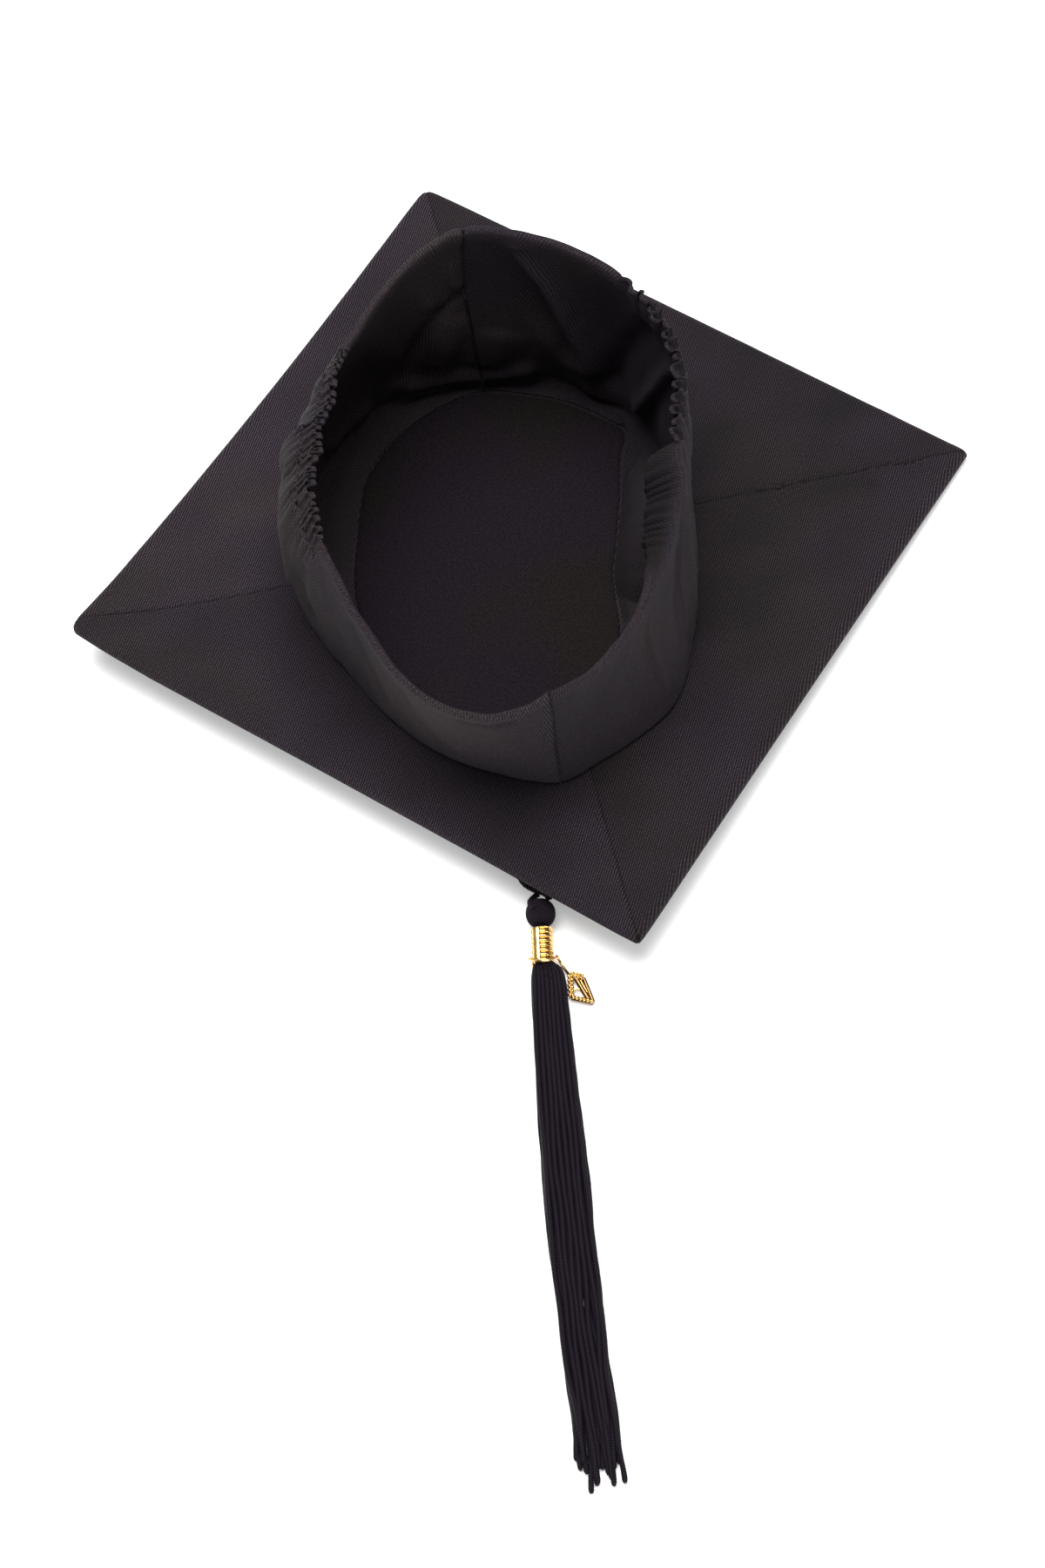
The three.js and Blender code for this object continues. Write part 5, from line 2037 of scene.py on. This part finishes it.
@dataclass
class TasselCord:
    """One strand of the tassel's loop: three plies twisted together, laid along given points."""

    side: Side
    route: Table
    diameter: float = 2.4
    plies: int = 3
    lay_length: float = 5.6
    ply_radius: float = 0.62
    step: float = 0.45

    def path(self) -> Array:
        """The cord's middle line, in metres."""
        return rounded_route(self.route, self.step) * MM

    def build(self, finishes: Finishes) -> Object:
        """Makes the cord.

        Args:
            finishes: All finishes.

        Returns:
            The cord.
        """
        line = self.path()
        first, second = cross_axes(line)
        run = np.arange(len(line)) * self.step
        offset = (self.diameter / 2 - self.ply_radius) * MM
        skin = Skin()
        for ply in range(self.plies):
            turn = FULL_TURN * (run / self.lay_length + ply / self.plies)
            middle_line = line + offset * (np.cos(turn)[:, None] * first + np.sin(turn)[:, None] * second)
            add_tube(skin, middle_line, self.ply_radius * MM, 9)
        obj = skin.build(f"loop_cord_{self.side.value}")
        face_outwards(obj)
        smooth(obj)
        return hand_over(obj, [f"tassel_cord_{self.side.value}"], finishes.cord)

    def declare(self, obj: Object, with_pieces: Sequence[Object]) -> None:
        """Works out the cord's middle line, and nothing else.

        Args:
            obj: The finished cord; not used.
            with_pieces: The pieces at its far end; not used.
        """
        line = self.path()


CORD_ROUTES = {
    Side.LEFT: (
        (-0.6, 5.2, 4.93), (-3.2, 4.4, 5.06), (-5.1, 2.4, 5.22), (-5.8, -0.6, 5.36), (-6.3, -4.5, 5.53),
        (-7.8, -9.5, 5.79), (-9.8, -15, 5.0), (-12.2, -22, 3.3), (-15, -30, 1.85), (-18, -39, 1.28),
        (-22.6, -54, 1.25), (-27.6, -74, 1.25), (-31, -95, 1.25), (-33, -110, 1.3), (-33.4, -120, 1.5),
        (-33.2, -128, 2.0), (-32.0, -133.0, 2.8), (-29.6, -136.3, 3.8), (-27.2, -138.5, 5.0),
        (-25.7, -140.9, 6.6), (-25.4, -143.3, 8.4),
    ),
    Side.RIGHT: (
        (0.2, 5.2, 4.90), (2.8, 4.4, 4.83), (4.7, 2.4, 4.83), (5.4, -0.6, 4.92), (5.1, -4.5, 5.09),
        (3.6, -9.5, 5.34), (1.4, -15, 4.6), (-1.4, -22, 3.1), (-4.4, -30, 1.8), (-7.6, -39, 1.28),
        (-12.6, -54, 1.25), (-17.8, -74, 1.25), (-21.4, -95, 1.25), (-23, -112, 1.25), (-23.6, -122, 1.25),
        (-24.8, -130, 1.25), (-26.6, -135.0, 1.3), (-28.6, -138.0, 2.1), (-30.7, -140.2, 4.2),
        (-31.9, -142.2, 6.6), (-32.2, -144.6, 9.2), (-31.6, -146.6, 10.6),
    ),
}


@dataclass
class Knot(Maker):
    """The ball knot: a core with one cord wound over and under itself round it."""

    radius: float = 5.3
    strand: float = 0.36
    loops: int = 19
    bights: int = 31
    furthest_tilt: float = 78.0
    weave_rise: float = 0.16
    winding_points: int = 5000
    step: float = 0.42

    def build(self) -> Object:
        """Makes the knot.

        Returns:
            The knot.
        """
        put_down()
        core_radius = self.radius - 2 * self.strand
        bpy.ops.mesh.primitive_uv_sphere_add(
            segments=48, ring_count=24, radius=(core_radius + self.strand) * MM
        )
        core = newest("knot_core")
        core.data.uv_layers.active.name = WEAVE_UV
        settle(core)
        t = np.linspace(0, FULL_TURN * self.loops, self.winding_points)
        tilt = math.radians(self.furthest_tilt) * np.sin(t * self.bights / self.loops)
        over = core_radius + self.strand + self.weave_rise * np.sin(2 * t * self.bights / self.loops)
        reach = over * np.cos(tilt)
        line = np.stack([over * np.sin(tilt), reach * np.cos(t), reach * np.sin(t)], 1)
        skin = Skin()
        add_tube(skin, evened(line, self.step) * MM, self.strand * MM, 7)
        winding = skin.build("knot_winding")
        face_outwards(winding)
        obj = join([winding, core], "ball_knot")
        settle(obj, self.place)
        smooth(obj)
        return hand_over(obj, ["tassel_knot"], self.finishes.cord)


@dataclass
class Ferrule(Maker):
    """The gold coloured band over the skirt's head: a plain strip, a seam, and ribs across it."""

    width: float = 7.6
    height: float = 7.4
    squareness: float = 2.6
    wall: float = 0.6
    drop: float = 0.4
    start: float = 6.4
    end: float = 19.7
    rings: int = 84
    first_groove: float = 0.75
    groove_pitch: float = 1.78
    groove_width: float = 0.4
    groove_depth: float = 0.62
    grooves: int = 7
    rib_rise: float = 0.2
    lip_rise: float = 0.12
    lip_width: float = 0.25
    ribs_from: float = -75.0
    ribs_to: float = 101.0
    seam_angle: float = 146.0
    seam_step: float = 2.6
    seam_pitch: float = 1.9
    seam_width: float = 3.0
    seam_depth: float = 0.5

    def build(self) -> Object:
        """Makes the ferrule.

        Returns:
            The ferrule.
        """
        put_down()
        length = self.end - self.start
        bpy.ops.mesh.primitive_cylinder_add(
            vertices=96, radius=1.0, depth=length * MM, end_fill_type="NOTHING",
            location=((self.start + length / 2) * MM, 0, -self.drop * MM), rotation=(0, math.pi / 2, 0))
        obj = newest("ribbed_ferrule")
        settle(obj)
        open_up(obj)
        select_where(obj, Parts.EDGES, lambda e: along_axis(e, 0))
        bpy.ops.mesh.subdivide(number_cuts=self.rings - 1)
        put_down()
        points = coordinates(obj)
        across, up = points[:, 1], points[:, 2] + self.drop * MM
        turn = np.arctan2(up, across)
        power = self.squareness
        stretch = (np.abs(np.cos(turn)) ** power + np.abs(np.sin(turn)) ** power) ** (-1 / power)
        x = points[:, 0] / MM - self.start
        degrees = np.degrees(turn)
        past_ribs = smoothstep(self.ribs_to - 2, self.ribs_to + 2, degrees)
        ribbed = smoothstep(self.ribs_from - 3, self.ribs_from, degrees) * (1 - past_ribs)
        groove = np.zeros(len(x))
        for i in range(self.grooves + 1):
            away = x - self.first_groove - i * self.groove_pitch
            groove = np.maximum(groove, np.exp(-((away / self.groove_width) ** 2)))
        seam_place = self.seam_angle + self.seam_step * np.sign(np.sin(FULL_TURN * x / self.seam_pitch))
        seam = np.exp(-(((degrees - seam_place) / self.seam_width) ** 2))
        lips = np.exp(-(x / self.lip_width) ** 2) + np.exp(-((length - x) / self.lip_width) ** 2)
        depth = -self.groove_depth * ribbed * groove - self.seam_depth * seam
        depth = depth + self.rib_rise * ribbed * (1 - groove) + self.lip_rise * lips
        hollows = 0.8 * ribbed * smoothstep(0.6, 0.98, groove) + 0.9 * smoothstep(0.3, 0.8, seam)
        mark(obj.data, TARNISH_AND_DARK_REFLECTION, np.clip(hollows, 0, 1))
        half_width, half_height = self.width / 2 + depth, self.height / 2 + depth
        points[:, 1] = half_width * stretch * np.cos(turn) * MM
        points[:, 2] = half_height * stretch * np.sin(turn) * MM - self.drop * MM
        set_coordinates(obj, points)
        face_outwards(obj)
        axis_up = -self.drop * MM
        if sum(p.normal.dot(p.center - Vector((p.center.x, 0, axis_up))) for p in obj.data.polygons) < 0:
            obj.data.flip_normals()
        thicken(obj, self.wall)
        settle(obj, self.place)
        smooth(obj, 60)
        return hand_over(obj, ["tassel_ferrule"], self.finishes.gold)


@dataclass
class Skirt(Maker):
    """The skirt: crimped cords that hang from the ferrule and lie on the floor, cut unevenly."""

    frame: TasselFrame
    # Distance along the skirt, stray to the right, and width
    stations: Table = (
        (19, 0.4, 7.0), (20, 0.5, 9.0), (22, 1.4, 11.6), (26, 1.8, 12.7), (33, 2.0, 13.2),
        (48, 2.5, 14.1), (63, 3.1, 14.8), (78, 3.8, 15.6), (100, 4.7, 16.1), (128, 6.2, 16.6),
        (145, 7.6, 16.1), (162, 9.0, 15.9), (180, 10.5, 15.3), (208, 12.2, 15.0),
    )
    layers: tuple[int, ...] = (8, 9, 8)
    radius: float = 1.02
    layer_rise: float = 1.62
    crimp: float = 0.8
    start: float = 18.6
    droop: float = 14.0
    waves: tuple[float, ...] = (88.0, 47.0, 27.0)
    lift: float = 0.16
    head_low: float = -0.4
    head_rise: float = 1.9
    end_stray: float = 1.1
    end_reach: float = 16.0
    lengths: tuple[float, float] = (198.5, 207.5)

    def strand(self, rng: np.random.Generator, across: float, layer: int) -> tuple[Array, Array]:
        """One cord's middle line and radius.

        Args:
            rng: Random numbers.
            across: Its place across the skirt, from -1 to 1.
            layer: Its layer, 0 on the floor.

        Returns:
            The line in millimetres, in the tassel's frame, and its radii.
        """
        length = rng.uniform(*self.lengths) - 2.5 * abs(across) - 1.2 * layer
        s = np.arange(self.start, length, self.crimp / 2)
        xs = [row[0] for row in self.stations]
        side = curve_through(xs, np.array([row[1] for row in self.stations]), s)
        width = curve_through(xs, np.array([row[2] for row in self.stations]), s)
        loose = smoothstep(30, 190, s)
        wander = np.zeros(len(s))
        lift = np.zeros(len(s))
        for wave in self.waves:
            pace = FULL_TURN / (wave * rng.uniform(0.8, 1.25))
            wander += np.sin(pace * s + rng.uniform(0, 6.3)) * wave / self.waves[0]
            lift += np.sin(pace * s + rng.uniform(0, 6.3)) * wave / self.waves[0]
        settle_down = smoothstep(self.start + 1, self.start + 1 + self.droop, s)
        y = side + across * (width / 2 - self.radius) + wander * (0.1 + 0.42 * loose)
        rest = self.frame.floor() + self.radius + layer * self.layer_rise
        low = self.head_low + (layer - 1) * self.head_rise
        lift = np.abs(lift) * self.lift * (layer > 0) * (1 - loose * 0.4)
        z = low + (rest - low) * settle_down + lift * settle_down
        last = smoothstep(length - self.end_reach, length, s)
        z = z + (self.frame.floor() + self.radius - z) * last * 0.8 * (layer > 0)
        y = y + rng.uniform(-self.end_stray, self.end_stray) * last
        uneven = 1 + 0.05 * np.sin(s * rng.uniform(0.3, 0.6))
        crimped = np.where(np.arange(len(s)) % 2 == 0, 1.0, 0.88) * uneven
        grow = 0.55 + 0.45 * smoothstep(self.start, self.start + 7, s)
        tip = np.sqrt(np.clip((length + 0.5 - s) / 1.6, 0.04, 1))
        return np.stack([s, y, z], 1), self.radius * crimped * grow * tip

    def curl(self, skin: Skin) -> None:
        """Adds the small loose thread that curls just below the ferrule."""
        t = np.linspace(0, 1, 60)
        turn = FULL_TURN * 1.25 * t + 0.4
        x = 21.2 + 1.2 * np.cos(turn) + 3.6 * t
        y = 1.6 + 1.5 * np.sin(turn) + 0.4 * t
        z = 2.6 - 0.9 * t + 0.3 * np.sin(turn)
        add_tube(skin, np.stack([x, y, z], 1) * MM, 0.11 * MM, 6)

    def build(self) -> Object:
        """Makes the skirt.

        Returns:
            The skirt.
        """
        rng = np.random.default_rng(71)
        skin = Skin()
        for layer, count in enumerate(self.layers):
            for i in range(count):
                across = (i + 0.5) / count * 2 - 1
                across = across / (1 - 1 / count) * (0.94 if layer else 1.0)
                line, radii = self.strand(rng, float(across), layer)
                add_tube(skin, line * MM, radii * MM, 7, slant=0.12 * MM)
        self.curl(skin)
        obj = skin.build("crimped_skirt")
        face_outwards(obj)
        settle(obj, self.place)
        smooth(obj, 85)
        return hand_over(obj, ["tassel_skirt"], self.finishes.skirt)


@dataclass
class Drop(Maker):
    """The jump ring, its small link, and a beaded openwork drop."""

    frame: TasselFrame
    ring_radius: float = 5.55
    ring_wire: float = 0.36
    ring_place: tuple[float, float] = (17.2, 0.1)
    ring_lean: float = -26.0
    link_radius: float = 2.0
    link_wire: float = 0.42
    link_angle: float = 70.0
    link_way: Triple = (0.8, 0.42, -0.43)
    link_turn: float = 104.0
    bar: float = 0.95
    bead: float = 0.7
    thin_bar: float = 0.42
    link_bar: float = 0.55
    cut_angle: float = 2.4
    cut_depth: float = 0.08
    # Share of painted dark reflection on thick bars and on thin wire
    bar_painted_dark: float = 0.9
    wire_painted_dark: float = 0.1
    bright_below: float = 0.5
    corners: Table = ((21.9, 9.4), (30.7, 9.4), (32.9, 17.0), (23.5, 14.0))

    def ring_frame(self) -> Matrix:
        """The ring's frame in the tassel's frame, in millimetres."""
        half = self.ring_radius * math.cos(math.radians(self.ring_lean)) + self.ring_wire
        lean = Matrix.Rotation(math.pi / 2 - math.radians(self.ring_lean), 4, "Y")
        return Matrix.Translation((*self.ring_place, half + self.frame.floor())) @ lean

    def link_frame(self) -> Matrix:
        """The link's frame in the tassel's frame, in millimetres, hooked over the ring's wire."""
        turn = math.radians(self.link_angle)
        ring = self.ring_frame()
        hook = ring @ (Vector((math.cos(turn), math.sin(turn), 0)) * self.ring_radius)
        wire = (ring.to_3x3() @ Vector((-math.sin(turn), math.cos(turn), 0))).normalized()
        way = Vector(self.link_way).normalized()
        normal = (wire - way * wire.dot(way)).normalized()
        normal = Matrix.Rotation(math.radians(self.link_turn), 3, way) @ normal
        centre = hook + way * (self.link_radius - self.link_wire - self.ring_wire)
        return Matrix.Translation(centre) @ Matrix((way, normal.cross(way), normal)).transposed().to_4x4()

    def wire_ring(self, name: str, radius: float, wire: float, place: Matrix) -> Object:
        """Makes a ring of round wire with a fine cut where it was closed.

        Args:
            name: Its name.
            radius: Radius of its middle line, in millimetres.
            wire: Half the wire's thickness, in millimetres.
            place: Its frame in the tassel's frame, in millimetres.

        Returns:
            The ring, in metres, in the tassel's frame.
        """
        put_down()
        bpy.ops.mesh.primitive_torus_add(
            major_segments=56, minor_segments=12, major_radius=radius, minor_radius=wire
        )
        obj = newest(name)
        settle(obj, place)
        across, along = radius * math.cos(self.cut_angle), radius * math.sin(self.cut_angle)
        cut = np.array(place @ Vector((across, along, 0)))
        points = coordinates(obj)
        away = np.linalg.norm(points - cut, axis=1)
        pinch = np.exp(-((away / (wire * 1.1)) ** 2)) * self.cut_depth
        points = points + (cut - points) * pinch[:, None]
        set_coordinates(obj, points * MM)
        return obj

    def rod(self, start: Vector, end: Vector, radius: float) -> Object:
        """Makes a round bar with softened ends.

        Args:
            start: One end, in millimetres.
            end: The other end, in millimetres.
            radius: Its radius, in millimetres.

        Returns:
            The bar, in metres.
        """
        way = end - start
        put_down()
        bpy.ops.mesh.primitive_cylinder_add(vertices=16, radius=radius, depth=way.length)
        obj = newest("drop_bar")
        open_up(obj)
        select_where(obj, Parts.EDGES, lambda e: abs(e.verts[0].co.z - e.verts[1].co.z) < 1e-6)
        bpy.ops.mesh.bevel(offset=radius * 0.5, segments=3, affect="EDGES")
        put_down()
        # Thicker bars get a painted dark reflection, thin wire only a little
        painted_dark_share = self.bar_painted_dark if radius > self.bright_below else self.wire_painted_dark
        mark(obj.data, TARNISH_AND_DARK_REFLECTION, [painted_dark_share] * len(obj.data.vertices))
        turn = way.to_track_quat("Z", "Y").to_matrix().to_4x4()
        settle(obj, Matrix.Scale(MM, 4) @ Matrix.Translation((start + end) / 2) @ turn)
        return obj

    def beads(self, start: Vector, end: Vector, count: int, lift: float) -> list[Object]:
        """Sets a row of small beads along a bar.

        Args:
            start: One end, in millimetres.
            end: The other end, in millimetres.
            count: How many beads.
            lift: How far above the bar they sit, in millimetres.

        Returns:
            The beads, in metres.
        """
        made = []
        for i in range(count):
            spot = start.lerp(end, (i + 0.5) / count) + Vector((0, 0, lift))
            put_down()
            bpy.ops.mesh.primitive_uv_sphere_add(segments=12, ring_count=7, radius=self.bead, location=spot)
            obj = newest("drop_bead")
            settle(obj, Matrix.Scale(MM, 4))
            made.append(obj)
        return made

    def drop(self) -> Object:
        """Makes the openwork drop with its link.

        Returns:
            The drop, in metres, in the tassel's frame.
        """
        z = self.frame.floor() + self.bar + 0.1
        a, b, c, d = (Vector((*corner, z)) for corner in self.corners)
        reach = self.link_frame() @ Vector((self.link_radius, 0, 0))
        brace = a.lerp(d, 0.3), c.lerp(b, 0.16)
        pieces = [
            self.rod(a, b, self.bar), self.rod(b, c, self.bar), self.rod(c, d, self.bar * 0.85),
            self.rod(d, a, self.bar), self.rod(reach, a.lerp(b, 0.08), self.link_bar),
            self.rod(*brace, self.bar), self.rod(a.lerp(d, 0.62), c.lerp(b, 0.04), self.thin_bar),
            self.rod(a.lerp(b, 0.7), brace[0].lerp(brace[1], 0.5), self.thin_bar),
        ]
        rows = (
            (a, b, 6, 0.55, 0.5), (a, b, 5, -0.55, 0.62), (a, d, 4, 0.6, 0.6), (a, d, 4, -0.6, 0.55),
            (b, c, 6, 0.0, 0.7),
        )
        for start, end, count, beside, lift in rows:
            way = (end - start).normalized()
            shift = Vector((-way.y, way.x, 0)) * beside
            pieces += self.beads(start + shift, end + shift, count, lift)
        link = self.wire_ring("drop_link", self.link_radius, self.link_wire, self.link_frame())
        return join([*pieces, link], "openwork_drop")

    def build(self) -> list[Object]:
        """Makes the ring and the drop.

        Returns:
            The ring and the drop.
        """
        ring = self.wire_ring("jump_ring", self.ring_radius, self.ring_wire, self.ring_frame())
        drop = self.drop()
        for obj, node in ((ring, "charm_ring"), (drop, "charm")):
            settle(obj, self.place)
            face_outwards(obj)
            smooth(obj)
            hand_over(obj, [node], self.finishes.gold)
        return [ring, drop]


# All together


def report(pieces: Sequence[Object]) -> None:
    """Logs how many pieces there are and how many faces they have."""
    log.info("%d pieces, %d faces", len(pieces), sum(len(p.data.polygons) for p in pieces))


def main() -> None:
    """Builds the camera and the cords first, then the tassel, the board and the cap."""
    logging.basicConfig(level=logging.INFO, format="%(name)s %(message)s")
    put_down()
    Studio().build()
    finishes = Finishes()
    tassel, hat = TasselFrame(), HatFrame().matrix()
    cords = {side: TasselCord(side, route) for side, route in CORD_ROUTES.items()}
    laid = {side: cord.build(finishes) for side, cord in cords.items()}
    head = tassel.matrix()
    knot = Knot(finishes, head).build()
    ferrule = Ferrule(finishes, head).build()
    skirt = Skirt(finishes, head, tassel).build()
    ring, drop = Drop(finishes, head, tassel).build()
    cords[Side.LEFT].declare(laid[Side.LEFT], [knot])
    cords[Side.RIGHT].declare(laid[Side.RIGHT], [ferrule, ring, drop])
    shape = BoardShape()
    pieces = [*laid.values(), knot, ferrule, skirt, ring, drop, Board(finishes, hat, shape).build()]
    pieces += Underside(finishes, hat, shape).build()
    pieces.append(Button(finishes, hat).build())
    cap = CapShape()
    pieces.append(CrownLining(finishes, hat, cap).build())
    for side, gather in GATHERS.items():
        casing = Casing(finishes, hat, cap, gather).build()
        pieces += [casing, CapWall(finishes, hat, cap, side).build(casing)]
    report(pieces)


if __name__ == "__main__":
    main()
